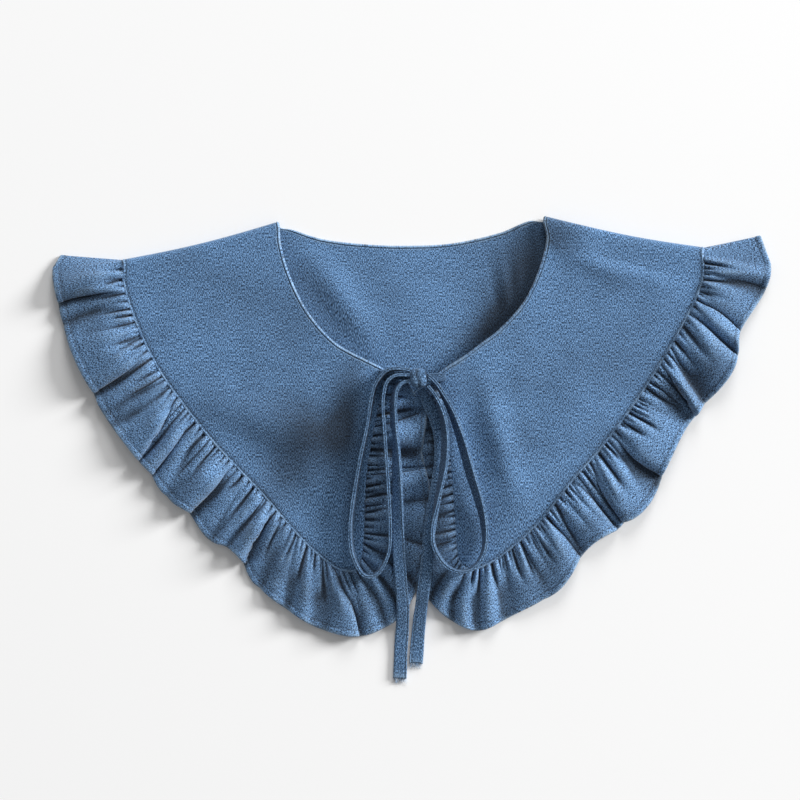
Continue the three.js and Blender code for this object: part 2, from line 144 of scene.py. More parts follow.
def new_mesh(name, points, faces, material, uv=None, marks=None):
    """A smooth-shaded piece from points and faces, with a cloth UV map and named marks at each point."""
    mesh = bpy.data.meshes.new(name)
    mesh.from_pydata(points.tolist(), [], faces if isinstance(faces, list) else faces.tolist())
    mesh.shade_smooth()
    corner_points = np.zeros(len(mesh.loops), int)
    mesh.loops.foreach_get("vertex_index", corner_points)
    if uv is not None:
        layer = mesh.uv_layers.new(name="cloth")
        layer.data.foreach_set("uv", uv[corner_points].ravel().astype(np.float32))
    for mark, values in (marks or {}).items():
        attribute = mesh.attributes.new(mark, "FLOAT", "POINT")
        attribute.data.foreach_set("value", values.astype(np.float32))
    mesh.materials.append(material)
    piece = bpy.data.objects.new(name, mesh)
    bpy.context.collection.objects.link(piece)
    return piece


# The denim's colour: how strong the blue is at places on the ramp from the darkest yarn to the palest, the
# shares of the yarns in the weave, and how much the wash, the painted shade and the wear show.
YARN_SHADES = ((0.0, 0.26), (0.34, 0.7), (0.64, 1.16), (1.0, 2.5))
PALE_YARN = (0.30, 0.40, 0.50)
PALE_YARN_LIFT = 0.25
RUBBED_BLUE = (0.29, 0.42, 0.56)
WARP_SHARE = 0.78
WEFT_SHARE = 0.12
SLUB_SHARE = 0.1
WEAVE_SPREAD = 0.12
WASH_SHARE = 0.3
WASH_LOWEST = 0.85
PAINTED_SHADE_STRENGTH = 0.82
WEAR_PALENESS = 0.55
WEAVE_RELIEF = 0.22 * MM


def denim(name, blue, fleck=1.0, sheen=0.18):
    """Washed denim: short flecks of pale and dark yarn, rubbed pale where it wears, with painted shade."""
    material = bpy.data.materials.new(name)
    material.use_nodes = True
    tree = material.node_tree
    shader = tree.nodes["Principled BSDF"]
    shader.inputs["Roughness"].default_value = 0.86
    shader.inputs["Specular IOR Level"].default_value = 0.28
    shader.inputs["Sheen Weight"].default_value = sheen
    shader.inputs["Sheen Roughness"].default_value = 0.55

    def add(kind, **settings):
        node = tree.nodes.new(kind)
        for setting, value in settings.items():
            setattr(node, setting, value)
        return node

    def connect(source, target):
        tree.links.new(source, target)

    cloth_map = add("ShaderNodeUVMap", uv_map="cloth")

    def yarns(along, across, detail=2.0):
        """Noise drawn out into flecks of the given size in metres."""
        place = add("ShaderNodeMapping")
        place.inputs["Scale"].default_value = (1 / along, 1 / across, 1)
        texture = add("ShaderNodeTexNoise", noise_dimensions="2D")
        texture.inputs["Scale"].default_value = 1.0
        texture.inputs["Detail"].default_value = detail
        texture.inputs["Roughness"].default_value = 0.6
        connect(cloth_map.outputs["UV"], place.inputs["Vector"])
        connect(place.outputs["Vector"], texture.inputs["Vector"])
        return texture.outputs["Fac"]

    def blend(kind, first, second):
        node = add("ShaderNodeMath", operation=kind)
        for socket, value in zip(node.inputs, (first, second)):
            if hasattr(value, "links"):
                connect(value, socket)
            else:
                socket.default_value = value
        return node.outputs[0]

    def spread(value, low, high):
        node = add("ShaderNodeMapRange")
        connect(value, node.inputs["Value"])
        node.inputs["From Min"].default_value = low
        node.inputs["From Max"].default_value = high
        return node.outputs["Result"]

    warp = yarns(1.3 * MM, 0.42 * MM, detail=0.0)
    weft = yarns(0.36 * MM, 0.6 * MM, detail=0.0)
    slub = yarns(4.0 * MM, 0.8 * MM, detail=1.0)
    weave = blend("ADD", blend("MULTIPLY", warp, WARP_SHARE), blend("MULTIPLY", weft, WEFT_SHARE))
    weave = blend("ADD", weave, blend("MULTIPLY", slub, SLUB_SHARE))
    half_spread = WEAVE_SPREAD / fleck
    shades = add("ShaderNodeValToRGB")
    connect(spread(weave, 0.5 - half_spread, 0.5 + half_spread), shades.inputs["Fac"])
    ramp = shades.color_ramp
    ramp.elements[0].position, ramp.elements[1].position = 0.0, 1.0
    for position, _ in YARN_SHADES[1:-1]:
        ramp.elements.new(position)
    for element, (position, strength) in zip(sorted(ramp.elements, key=lambda e: e.position), YARN_SHADES):
        lift = max(0.0, strength - 1) * PALE_YARN_LIFT
        colour = [channel * strength * (1 - lift) + lift * pale for channel, pale in zip(blue, PALE_YARN)]
        element.position = position
        element.color = (*colour, 1)

    wash = spread(yarns(36 * MM, 60 * MM, detail=3.0), 0.25, 0.75)
    wash = blend("ADD", blend("MULTIPLY", wash, WASH_SHARE), WASH_LOWEST)
    # The mark read here is painted shade: it darkens the cloth in creases, grooves and shaded places.
    painted_shade = add("ShaderNodeAttribute", attribute_name="painted_shade").outputs["Fac"]
    depth = blend("SUBTRACT", 1.0, blend("MULTIPLY", painted_shade, PAINTED_SHADE_STRENGTH))
    shade = blend("MULTIPLY", wash, depth)
    shaded = add("ShaderNodeMix", data_type="RGBA", blend_type="MULTIPLY")
    shaded.inputs["Factor"].default_value = 1.0
    connect(shades.outputs["Color"], shaded.inputs["A"])
    connect(shade, shaded.inputs["B"])

    wear = add("ShaderNodeAttribute", attribute_name="wear").outputs["Fac"]
    rubbed = blend("MULTIPLY", wear, spread(yarns(12 * MM, 8 * MM), 0.25, 0.7))
    worn = add("ShaderNodeMix", data_type="RGBA")
    worn.inputs["B"].default_value = (*RUBBED_BLUE, 1)
    connect(blend("MULTIPLY", rubbed, WEAR_PALENESS), worn.inputs["Factor"])
    connect(shaded.outputs["Result"], worn.inputs["A"])
    connect(worn.outputs["Result"], shader.inputs["Base Color"])

    bump = add("ShaderNodeBump")
    bump.inputs["Strength"].default_value = 0.5
    bump.inputs["Distance"].default_value = WEAVE_RELIEF
    connect(weave, bump.inputs["Height"])
    connect(bump.outputs["Normal"], shader.inputs["Normal"])
    return material


DENIM_BLUE = (0.053, 0.141, 0.294)
# The ties are the same denim as the panel, painted darker by this factor as shade.
TIE_PAINTED_SHADE = 0.72
tie_denim = denim("denim_of_the_ties", tuple(TIE_PAINTED_SHADE * c for c in DENIM_BLUE), fleck=0.75, sheen=0.06)

# Where the collar's plan lies in the frame, found from the knot
low, high = (np.array(corner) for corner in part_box("tie_knot"))
PLAN_SHIFT = (low + high) / 2 - KNOT_CENTRE * MM


def in_frame(points):
    return points * MM + PLAN_SHIFT


def strap_frame(rows):
    """Evenly spaced points along a tie, with the directions along it, across it and out of its face."""
    points = in_frame(columns_of(rows, "x", "y", "z"))
    last = len(points) - 1
    dense_places = np.linspace(0, last, LENGTH_STEPS * last)
    dense_lengths = lengths_along(spline(points, dense_places))
    count = round(dense_lengths[-1] / TIE_RING_SPACING)
    places = np.interp(np.linspace(0, dense_lengths[-1], count + 1), dense_lengths, dense_places)
    path = spline(points, places)
    along = unit(np.gradient(path, axis=0))
    level = unit(np.stack([along[:, 1], -along[:, 0], np.zeros(len(along))], axis=1))
    up = np.cross(level, along)
    turn = np.radians(np.interp(places, np.arange(last + 1), rows["turn"]))[:, None]
    across = level * np.cos(turn) + up * np.sin(turn)
    return path, along, across, np.cross(along, across)


def strap_width(lengths, gripped_start, gripped_end):
    """The half width along a tie, pinched where the knot or the seam grips it."""
    width = np.full(len(lengths), TIE_WIDTH / 2)
    for gripped, distance in ((gripped_start, lengths), (gripped_end, lengths[-1] - lengths)):
        width *= 1 - gripped * TIE_PINCH * np.exp(-((distance / TIE_PINCH_REACH) ** 2))
    width *= 1 + (1 - gripped_end) * TAIL_SPREAD * (lengths / lengths[-1]) ** 3
    waves = 1
    for share, size, start in WIDTH_WAVES:
        waves = waves + share * np.sin(lengths / size + start)
    return width * waves


def ring_faces(index):
    """Four-sided faces from each closed ring of points to the next."""
    after = np.roll(index, -1, axis=1)
    return np.stack([index[:-1], after[:-1], after[1:], index[1:]], axis=-1).reshape(-1, 4)


def strap(name, rows, gripped_start=1, gripped_end=1, ragged=False):
    """A flat sewn tie as a closed mesh, and the line that it follows."""
    path, along, across, out = strap_frame(rows)
    lengths = lengths_along(path)
    half_width = strap_width(lengths, gripped_start, gripped_end)
    place = np.array(TIE_SECTION_PLACE + TIE_SECTION_PLACE[-2:0:-1])
    height = np.array(TIE_SECTION_HEIGHT + tuple(-h for h in TIE_SECTION_HEIGHT[-2:0:-1]))
    rings, count = len(path), len(place)
    half_thickness = TIE_THICKNESS / 2 * (1 + THICKNESS_WAVE * np.sin(lengths / THICKNESS_WAVE_SIZE))
    points = (
        path[:, None]
        + across[:, None] * (place[None, :, None] * half_width[:, None, None])
        + out[:, None] * (height[None, :, None] * half_thickness[:, None, None])
    )
    if ragged:
        jag = np.random.default_rng(len(name)).uniform(*RAW_JAG, count) * MM
        points[-1] += along[-1] * jag[:, None]
    index = np.arange(rings * count).reshape(rings, count)
    faces = ring_faces(index).tolist() + [index[0][::-1].tolist(), index[-1].tolist()]
    section = np.stack([place * TIE_WIDTH / 2, height * TIE_THICKNESS / 2], axis=1)
    girth = lengths_along(np.vstack([section, section[:1]]))
    around = np.where(girth[:-1] > girth[-1] / 2, girth[:-1] - girth[-1], girth[:-1])
    uv = np.stack(np.broadcast_arrays(lengths[:, None], around[None, :]), axis=-1).reshape(-1, 2)
    raw = (1 - gripped_end) * RAW_WEAR * np.exp(-(((lengths[-1] - lengths) / RAW_REACH) ** 2))[:, None]
    wear = (raw + np.where(np.abs(place) > TIE_EDGE_PLACE, EDGE_WEAR, FACE_WEAR)[None, :]).ravel()
    # Painted shade on the loops' faces and in the stitch groove
    painted_face_shade = np.where(np.abs(place) < TIE_EDGE_PLACE, LOOP_FACE_DEPTH * gripped_end, 0.0)
    painted_face_shade = np.where(np.isclose(place, TIE_STITCH_PLACE), STITCH_GROOVE_SHADE, painted_face_shade)
    painted_shade = np.broadcast_to(painted_face_shade, (rings, count)).ravel()
    piece = new_mesh(name, points.reshape(-1, 3), faces, tie_denim, uv, {"wear": wear, "painted_shade": painted_shade})
    recalculate_outside(piece)
    return piece, path


def recalculate_outside(piece, merge=0):
    """Merges points closer together than the given distance, if any, and turns every face outwards."""
    bpy.ops.object.select_all(action="DESELECT")
    piece.select_set(True)
    bpy.context.view_layer.objects.active = piece
    bpy.ops.object.mode_set(mode="EDIT")
    bpy.ops.mesh.select_all(action="SELECT")
    if merge:
        bpy.ops.mesh.remove_doubles(threshold=merge)
    bpy.ops.mesh.normals_make_consistent(inside=False)
    bpy.ops.object.mode_set(mode="OBJECT")
    piece.select_set(False)


LEFT_LOOP = table(
    TIE_COLUMNS,
    (-1.2, 40.0, 20.6, 86),
    (-8.7, 41.0, 20.4, 84),
    (-15.0, 40.3, 20.0, 82),
    (-19.8, 37.3, 19.4, 82),
    (-23.2, 33.0, 18.8, 82),
    (-26.0, 27.0, 18.2, 82),
    (-31.2, -1.8, 16.8, 84),
    (-35.4, -20.7, 15.4, 84),
    (-41.0, -55.0, 13.6, 82),
    (-42.4, -69.7, 13.0, 80),
    (-41.7, -85.1, 12.6, 80),
    (-38.2, -95.6, 13.4, 82),
    (-33.3, -102.6, 14.2, 84),
    (-28.6, -103.8, 14.4, 84),
    (-23.8, -101.6, 14.8, 84),
    (-19.4, -95.6, 15.2, 86),
    (-15.8, -86.0, 15.8, 88),
    (-14.9, -69.7, 17.6, 90),
    (-16.3, -39.6, 19.4, 90),
    (-17.8, -17.2, 19.6, 90),
    (-19.3, 4.6, 19.6, 90),
    (-20.0, 15.1, 19.8, 90),
    (-19.3, 24.2, 20.0, 90),
    (-17.0, 32.0, 20.2, 90),
    (-11.6, 36.2, 20.4, 90),
    (-1.2, 36.6, 20.6, 90),
)
LEFT_TAIL = table(
    TIE_COLUMNS,
    (-1.4, 32.6, 20.4, 92),
    (-6.4, 31.6, 20.2, 98),
    (-10.6, 27.0, 19.8, 104),
    (-12.4, 18.0, 19.2, 110),
    (-12.3, 4.6, 18.6, 116),
    (-10.6, -18.0, 18.2, 124),
    (-9.9, -39.6, 17.6, 138),
    (-9.6, -62.7, 16.0, 158),
    (-9.0, -85.1, 13.6, 174),
    (-7.4, -108.2, 10.4, 180),
    (-6.0, -127.1, 7.0, 180),
    (-6.4, -139.7, 3.6, 180),
    (-7.4, -155.1, 1.6, 180),
    (-8.1, -176.1, 1.4, 180),
)
RIGHT_LOOP = table(
    TIE_COLUMNS,
    (11.4, 36.6, 20.8, 90),
    (17.2, 30.6, 20.4, 94),
    (22.6, 21.4, 19.6, 104),
    (28.0, 10.6, 18.6, 116),
    (33.0, -3.2, 17.6, 126),
    (36.8, -16.6, 16.6, 132),
    (41.6, -33.6, 15.4, 134),
    (46.4, -49.0, 14.4, 130),
    (49.9, -61.8, 13.6, 120),
    (51.4, -74.4, 13.2, 110),
    (50.6, -86.0, 13.4, 101),
    (47.0, -93.8, 13.8, 98),
    (40.3, -99.6, 14.2, 96),
    (32.6, -100.4, 14.6, 94),
    (25.4, -97.2, 15.2, 96),
    (19.4, -90.4, 17.2, 98),
    (15.4, -81.6, 19.0, 98),
    (14.6, -69.7, 19.0, 92),
    (17.2, -55.0, 19.8, 78),
    (20.4, -38.2, 20.2, 66),
    (22.8, -24.2, 20.4, 60),
    (23.5, -9.5, 20.6, 60),
    (22.6, 4.0, 20.6, 66),
    (19.6, 15.0, 21.0, 76),
    (15.8, 23.4, 21.4, 90),
    (11.4, 29.0, 21.4, 90),
)
RIGHT_TAIL = table(
    TIE_COLUMNS,
    (6.4, 26.6, 16.0, 0),
    (9.0, 22.0, 15.9, 0),
    (13.2, 14.0, 15.4, 0),
    (17.4, 3.6, 14.4, 0),
    (19.8, -8.8, 13.8, 0),
    (19.8, -24.2, 14.0, 0),
    (17.6, -41.0, 14.6, 0),
    (14.8, -57.8, 14.8, 0),
    (12.3, -73.9, 14.0, 0),
    (10.9, -92.8, 11.8, 0),
    (8.4, -113.8, 8.2, 0),
    (6.7, -127.1, 4.6, 0),
    (4.8, -144.0, 1.6, 0),
    (3.2, -165.6, 1.4, 0),
)

# The stitching of the ties and the hem: one blue thread, a little paler than the cloth, in stitches 2.3 mm
# long that lie in the groove they pull.
STITCH_LENGTH = 2.3 * MM
STITCH_PITCH = 3.1 * MM
STITCH_HALF_WIDTH = 0.26 * MM
STITCH_STEPS = np.array([-0.5, -0.3, 0.3, 0.5])
STITCH_FATNESS = np.array([0.35, 1.0, 1.0, 0.35])
STITCH_HEIGHT = 0.9  # as a share of its width
STITCH_LEVEL = 0.78  # how high a stitch lies on a tie, as a share of half the tie's thickness


def spun_yarn(name, roughness, sheen, fineness, dark, pale, places=(0.0, 1.0)):
    """Thread or yarn whose blue drifts between a dark and a pale shade, at two places on the ramp."""
    material = bpy.data.materials.new(name)
    material.use_nodes = True
    nodes, links = material.node_tree.nodes, material.node_tree.links
    shader = nodes["Principled BSDF"]
    shader.inputs["Roughness"].default_value = roughness
    shader.inputs["Sheen Weight"].default_value = sheen
    tint = nodes.new("ShaderNodeTexNoise")
    tint.inputs["Scale"].default_value = fineness
    shades = nodes.new("ShaderNodeValToRGB")
    for stop, position, colour in zip(shades.color_ramp.elements, places, (dark, pale)):
        stop.position = position
        stop.color = (*colour, 1)
    place = nodes.new("ShaderNodeTexCoord")
    links.new(place.outputs["Object"], tint.inputs["Vector"])
    links.new(tint.outputs["Fac"], shades.inputs["Fac"])
    links.new(shades.outputs["Color"], shader.inputs["Base Color"])
    return material


thread = spun_yarn(
    "blue_thread", roughness=0.6, sheen=0.2, fineness=900, dark=(0.035, 0.08, 0.16), pale=(0.13, 0.23, 0.37)
)


def stitching(name, line, out):
    """A row of stitches along a line that lies on the cloth, as one piece."""
    lengths = lengths_along(line)
    middles = np.arange(STITCH_PITCH, lengths[-1] - STITCH_PITCH, STITCH_PITCH)
    stations = middles[:, None] + STITCH_STEPS * STITCH_LENGTH

    def at(values):
        return np.stack([np.interp(stations, lengths, values[:, k]) for k in range(3)], axis=-1)

    centre, normal = at(line), unit(at(out))
    direction = unit(np.gradient(centre, axis=1))
    side = np.cross(direction, normal)
    fat = (STITCH_FATNESS * STITCH_HALF_WIDTH)[None, :, None]
    high = normal * fat * STITCH_HEIGHT
    corners = [centre + side * fat, centre + high, centre - side * fat, centre - high]
    points = np.stack(corners, axis=2)
    count, steps = len(middles), len(STITCH_STEPS)
    index = np.arange(count * steps * 4).reshape(count, steps, 4)
    after = np.roll(index, -1, axis=2)
    sides = np.stack([index[:, :-1], after[:, :-1], after[:, 1:], index[:, 1:]], axis=-1).reshape(-1, 4)
    faces = np.concatenate([sides, index[:, 0, ::-1], index[:, -1]])
    piece = new_mesh(name, points.reshape(-1, 3), faces, thread)
    recalculate_outside(piece)
    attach(piece, "root")
    return piece


def strap_stitching(name, rows, gripped_start=1, gripped_end=1):
    path, along, across, out = strap_frame(rows)
    half_width = strap_width(lengths_along(path), gripped_start, gripped_end)[:, None]
    edge_line = path + across * half_width * TIE_STITCH_PLACE
    rise = TIE_THICKNESS / 2 * STITCH_LEVEL
    face = 1 if out[:, 2].mean() > 0 else -1
    return stitching(name, edge_line + out * rise * face, out * face)


# The raw ends of the tails. Each is cut across and has frayed, so pale yarns of the cloth stand out of it
# for a few millimetres.
FRAY_YARNS = 40
FRAY_STEPS = 5
FRAY_ROOT = 0.8 * MM  # how far inside the raw end a yarn starts
FRAY_LONGEST = 4.6 * MM
FRAY_SHARES = (0.12, 1.0)  # of the longest, before the power below makes more of them short
FRAY_SHORTNESS = 1.3
FRAY_EDGE = 0.95  # the outermost yarn, as a share of half the tie's width
FRAY_LAYERS = (-0.5, 0.7)  # the lowest and highest yarn, in millimetres from the middle of the tie
FRAY_LEAN = 0.75
FRAY_LIFT = (-0.25, 0.2)
FRAY_CURL = 0.45
FRAY_LOWEST = 0.3 * MM
YARN_HALF_WIDTH = 0.24 * MM
YARN_TIP = 0.35
YARN_CORNERS = (90, 210, 330)

frayed_yarn = spun_yarn(
    "frayed_yarn",
    roughness=0.9,
    sheen=0.3,
    fineness=500,
    dark=(0.16, 0.33, 0.56),
    pale=(0.66, 0.78, 0.92),
    places=(0.35, 0.62),
)


def fray(name, rows, seed):
    """Yarns that stand out of the raw end of a tail, as one piece."""
    path, along, across, out = strap_frame(rows)
    chance = np.random.default_rng(seed)
    end, forward, side, normal = path[-1], along[-1], across[-1], out[-1]
    if normal[2] < 0:
        normal = -normal
    points, faces = [], []
    for _ in range(FRAY_YARNS):
        start = end + side * chance.uniform(-FRAY_EDGE, FRAY_EDGE) * TIE_WIDTH / 2
        start = start + normal * chance.uniform(*FRAY_LAYERS) * MM - forward * FRAY_ROOT
        length = FRAY_ROOT + FRAY_LONGEST * chance.uniform(*FRAY_SHARES) ** FRAY_SHORTNESS
        drift = side * chance.uniform(-FRAY_LEAN, FRAY_LEAN) + normal * chance.uniform(*FRAY_LIFT)
        curl = side * chance.uniform(-FRAY_CURL, FRAY_CURL)
        line = []
        for step in range(FRAY_STEPS + 1):
            share = step / FRAY_STEPS
            point = start + (forward + drift * share + curl * share**2) * length * share
            point[2] = max(point[2], FRAY_LOWEST)
            line.append(point)
        for share, point in zip(np.linspace(1, YARN_TIP, FRAY_STEPS + 1), line):
            fat = YARN_HALF_WIDTH * share
            for angle in YARN_CORNERS:
                turn = math.radians(angle)
                points.append(point + side * fat * math.cos(turn) + normal * fat * math.sin(turn))
        base = len(points) - 3 * (FRAY_STEPS + 1)
        for step in range(FRAY_STEPS):
            for k in range(3):
                a, b = base + 3 * step + k, base + 3 * step + (k + 1) % 3
                faces.append((a, b, b + 3, a + 3))
        faces.append((base, base + 2, base + 1))
        faces.append((base + 3 * FRAY_STEPS, base + 3 * FRAY_STEPS + 1, base + 3 * FRAY_STEPS + 2))
    piece = new_mesh(name, np.array(points), faces, frayed_yarn)
    recalculate_outside(piece)
    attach(piece, "root")
    return piece


def free_tie(name, node, rows, far_end, extras, **grips):
    """A loop or tail of the bow, built as a flat strap in place of the model's part."""
    piece, path = strap(name, rows, **grips)
    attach(piece, "root")
    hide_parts(node)


left_loop_stitches = strap_stitching("stitching_of_left_loop", LEFT_LOOP)
right_loop_stitches = strap_stitching("stitching_of_right_loop", RIGHT_LOOP)
left_tail_extras = [
    strap_stitching("stitching_of_left_tail", LEFT_TAIL, gripped_end=0),
    fray("frayed_end_of_left_tail", LEFT_TAIL, seed=3),
]
right_tail_extras = [
    strap_stitching("stitching_of_right_tail", RIGHT_TAIL, gripped_end=0),
    fray("frayed_end_of_right_tail", RIGHT_TAIL, seed=8),
]
free_tie("left_loop_of_bow", "tie_left_loop", LEFT_LOOP, "object", [left_loop_stitches])
free_tie("right_loop_of_bow", "tie_right_loop", RIGHT_LOOP, "object", [right_loop_stitches])
for name, node, rows, extras in (
    ("left_tail_of_bow", "tie_left_tail", LEFT_TAIL, left_tail_extras),
    ("right_tail_of_bow", "tie_right_tail", RIGHT_TAIL, right_tail_extras),
):
    free_tie(name, node, rows, "bare", extras, gripped_end=0, ragged=True)

# The roots of the ties. Each is the first stretch of its tie, sewn in under the neck corner and drawn across
# to the knot.
LEFT_ROOT = table(
    TIE_COLUMNS,
    (-22.5, 37.4, 13.4, 0),
    (-16.0, 37.6, 13.6, 0),
    (-8.0, 36.8, 14.0, 0),
    (-1.2, 36.2, 14.6, 0),
)
RIGHT_ROOT = table(
    TIE_COLUMNS,
    (24.0, 35.2, 13.4, 0),
    (19.0, 35.0, 13.8, 0),
    (14.0, 34.8, 14.0, 0),
    (10.8, 34.8, 14.2, 0),
)
for name, node, rows in (
    ("left_root_of_tie", "tie_left_root", LEFT_ROOT),
    ("right_root_of_tie", "tie_right_root", RIGHT_ROOT),
):
    root, _ = strap(name, rows)
    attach(root, "root")
    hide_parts(node)

# The knot. One tie wraps once round the other from top to bottom, so its face shows creases that run down it
# and gather at both ends.
KNOT_HALF_SIZE = np.array([5.9, 6.9, 5.6]) * MM
KNOT_SQUARENESS = 0.62
KNOT_CREASE_DEPTH = 0.085
KNOT_CREASE_CLOSENESS = 5.2
KNOT_CREASE_START = 0.6
KNOT_CREASE_SWAY = 0.9
KNOT_SWAY_CLOSENESS = 2.2
KNOT_CREASE_SHARPNESS = 3
KNOT_CREASE_FADE = 0.4
KNOT_BELLY = 0.05
KNOT_TAPER = 0.1
KNOT_WEAR = 0.14
# How much shade is painted into the knot's creases
KNOT_CREASE_SHADE = 0.8
KNOT_POLE_MERGE = 0.01 * MM
KNOT_ROUND = 72
KNOT_TALL = 44


def knot_surface():
    """The knot's points in rings from its lower end to its upper one, with the depth of its creases."""
    lean = np.linspace(-math.pi / 2, math.pi / 2, KNOT_TALL + 1)[:, None]
    turn = np.linspace(0, 2 * math.pi, KNOT_ROUND, endpoint=False)[None, :]
    x, z = np.cos(lean) * np.cos(turn), np.cos(lean) * np.sin(turn)
    y = np.broadcast_to(np.sin(lean), x.shape)
    places = np.stack([np.sign(v) * np.abs(v) ** KNOT_SQUARENESS for v in (x, y, z)], axis=-1)
    sway = KNOT_CREASE_SWAY * np.sin(KNOT_SWAY_CLOSENESS * places[..., 1])
    creases = 0.5 + 0.5 * np.cos(KNOT_CREASE_CLOSENESS * places[..., 0] + sway + KNOT_CREASE_START)
    creases = creases**KNOT_CREASE_SHARPNESS * np.cos(lean) ** KNOT_CREASE_FADE
    swell = 1 - KNOT_CREASE_DEPTH * creases + KNOT_BELLY * (1 - places[..., 1] ** 2)
    places[..., 0] *= 1 - KNOT_TAPER * np.abs(places[..., 1]) ** 3
    return places * swell[..., None] * KNOT_HALF_SIZE, creases


knot_points, knot_creases = knot_surface()
knot_faces = ring_faces(np.arange(knot_creases.size).reshape(knot_creases.shape))
knot_uv = np.stack([knot_points[..., 1], knot_points[..., 0] + knot_points[..., 2]], axis=-1).reshape(-1, 2)
# The knot, with shade painted into its creases
knot = new_mesh(
    "knot_of_bow",
    knot_points.reshape(-1, 3) + in_frame(KNOT_CENTRE),
    knot_faces,
    tie_denim,
    knot_uv,
    {"wear": KNOT_WEAR * (1 - knot_creases.ravel()), "painted_shade": KNOT_CREASE_SHADE * knot_creases.ravel()},
)
recalculate_outside(knot, merge=KNOT_POLE_MERGE)
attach(knot, "root")
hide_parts("tie_knot")

# The panel. One piece of double denim, turned in round the neck and folded over at both shoulders, so that
# the back lies underneath and shows its inside through the neck. Its neck edge is a thin roll with a
# stitched ditch.
PANEL_THICKNESS = 1.6 * MM
BACK_LEVEL = 0.8
SHOULDER_LEVEL = 7.2
SHOULDER_ROWS = 5
SHOULDER_SAG = 2.0
SHOULDER_SOFTNESS = 0.3
ROLL_WEAVE = 2.5  # how far the weave runs on for each millimetre that the cloth drops at a shoulder
PANEL_COLUMN_SPACING = 2.4 * MM
LEAST_COLUMNS = 4  # between two rows of the panel's tables
# Bands along the neck edge and the seam. Each row is how strong the band is, how far it lies from the edge
# and its half width, both in millimetres. Relief adds to the thickness, wear rubs the cloth pale and the
# shade bands paint shade into the ditches.
NECK_RELIEF = ((0.5 * MM, 0.35, 0.45), (0.25 * MM, 1.9, 0.45), (-0.75 * MM, 1.15, 0.3))
SEAM_RELIEF = ((0.6 * MM, 0.5, 0.5), (-0.35 * MM, 1.7, 0.5))
NECK_WEAR = ((1.0, 0.2, 0.5), (0.7, 1.9, 0.35))
SEAM_WEAR = ((1.0, 0.4, 0.6),)
NECK_SHADE_BANDS = ((0.8, 1.15, 0.35),)
SEAM_SHADE_BANDS = ((0.5, 1.8, 0.6), (0.2, 3, 2))
# Soft ripples of the fronts: the rise, size and seed of each
PANEL_RIPPLES = ((0.28, 34, 5), (0.1, 13, 6))
RIPPLE_WAVES = 7
RIPPLE_SIZES = (0.7, 1.6)  # the closest and widest of its waves, as shares of a ripple's size
RIPPLE_SCALE = 3.2
# The puckers that the seam pulls, as an uneven wave: its length over two pi, how far it drifts, and the
# length over two pi of the drift
PUCKER_WAVE = (1.15, 1.7, 9.0)
PUCKER_HEIGHT = 0.16
PUCKER_REACH = 3.5

FRONT_COLUMNS = "neckX neckY neckZ seamX seamY seamZ"
LEFT_FRONT = table(
    FRONT_COLUMNS,
    (-18.5, 39.5, 10.5, -34.6, -91.3, 5.0),
    (-21.3, 41.3, 11.0, -38.1, -99.8, 4.8),
    (-26.9, 44.1, 11.5, -49.3, -100.4, 4.8),
    (-34.6, 47.9, 12.0, -64.8, -89.9, 5.2),
    (-43.0, 52.1, 12.0, -80.8, -74.5, 5.8),
    (-54.5, 59.3, 12.0, -103.0, -48.8, 6.6),
    (-73.1, 80.5, 11.0, -145.2, -3.1, 7.4),
    (-85.8, 106.0, 9.5, -182.3, 49.3, 7.4),
    (-92.4, 129.2, 8.2, -201.5, 99.8, 7.2),
)
RIGHT_FRONT = table(
    FRONT_COLUMNS,
    (18.5, 36.8, 10.5, 32.5, -92.8, 5.0),
    (21.3, 39.2, 11.0, 39.5, -99.8, 4.8),
    (24.8, 41.6, 11.5, 54.9, -95.5, 4.8),
    (30.4, 45.1, 12.0, 72.4, -82.9, 5.4),
    (38.1, 50.0, 12.0, 90.6, -65.5, 6.2),
    (49.3, 58.4, 12.0, 112.3, -38.1, 7.0),
    (61.2, 67.5, 11.6, 135.4, -11.5, 7.4),
    (81.5, 91.3, 10.4, 171.8, 40.2, 7.4),
    (95.2, 131.2, 8.2, 204.0, 103.2, 7.2),
)
BACK = table(
    FRONT_COLUMNS,
    (-84.5, 138.4, BACK_LEVEL, -186.0, 80.0, BACK_LEVEL),
    (-64.0, 131.8, BACK_LEVEL, -144.5, 24.0, BACK_LEVEL),
    (-29.0, 127.5, BACK_LEVEL, -65.5, -23.5, BACK_LEVEL),
    (-0.5, 126.8, BACK_LEVEL, -0.5, -33.0, BACK_LEVEL),
    (28.5, 128.4, BACK_LEVEL, 65.0, -20.5, BACK_LEVEL),
    (63.5, 136.3, BACK_LEVEL, 141.0, 30.5, BACK_LEVEL),
    (84.0, 144.6, BACK_LEVEL, 185.0, 86.0, BACK_LEVEL),
)
LEFT_SHOULDER = {"neck": (-93.8, 143.4), "seam": (-202.2, 117.0), "hem": (-245.5, 120.8)}
RIGHT_SHOULDER = {"neck": (93.6, 147.4), "seam": (204.4, 125.6), "hem": (244.6, 134.0)}
LEFT_CENTRE_BOW = -4
RIGHT_CENTRE_BOW = 2
CENTRE_BOW_ROWS = 4

# Soft swells and dents of the fronts, and of the back where it shows through the neck: centre, direction in
# degrees, half-length, half-width and rise.
SWELL_COLUMNS = "x y turn length width rise"
FRONT_SWELLS = table(
    SWELL_COLUMNS,
    (-98, 2, -14, 58, 17, 5.0),
    (-84, -54, -44, 60, 16, -3.4),
    (-34, 16, 84, 36, 17, 4.6),
    (-108, 88, -6, 40, 15, -1.4),
    (44, -12, 100, 60, 10, -2.4),
    (64, -14, 106, 55, 9, 3.0),
    (142, 117, -11, 70, 11, 5.0),
    (116, 16, 34, 34, 16, 3.0),
    (84, -44, 38, 40, 10, 1.6),
)
BACK_SWELLS = table(
    SWELL_COLUMNS,
    (-54, 100, 124, 44, 10, 5.0),
    (0, 92, 95, 50, 28, 2.6),
    (98, 112, 62, 48, 25, 6.4),
    (66, 100, 97, 24, 3.2, 1.6),
    (76, 104, 92, 20, 2.6, 1.3),
    (58, 96, 100, 26, 3, -0.8),
)
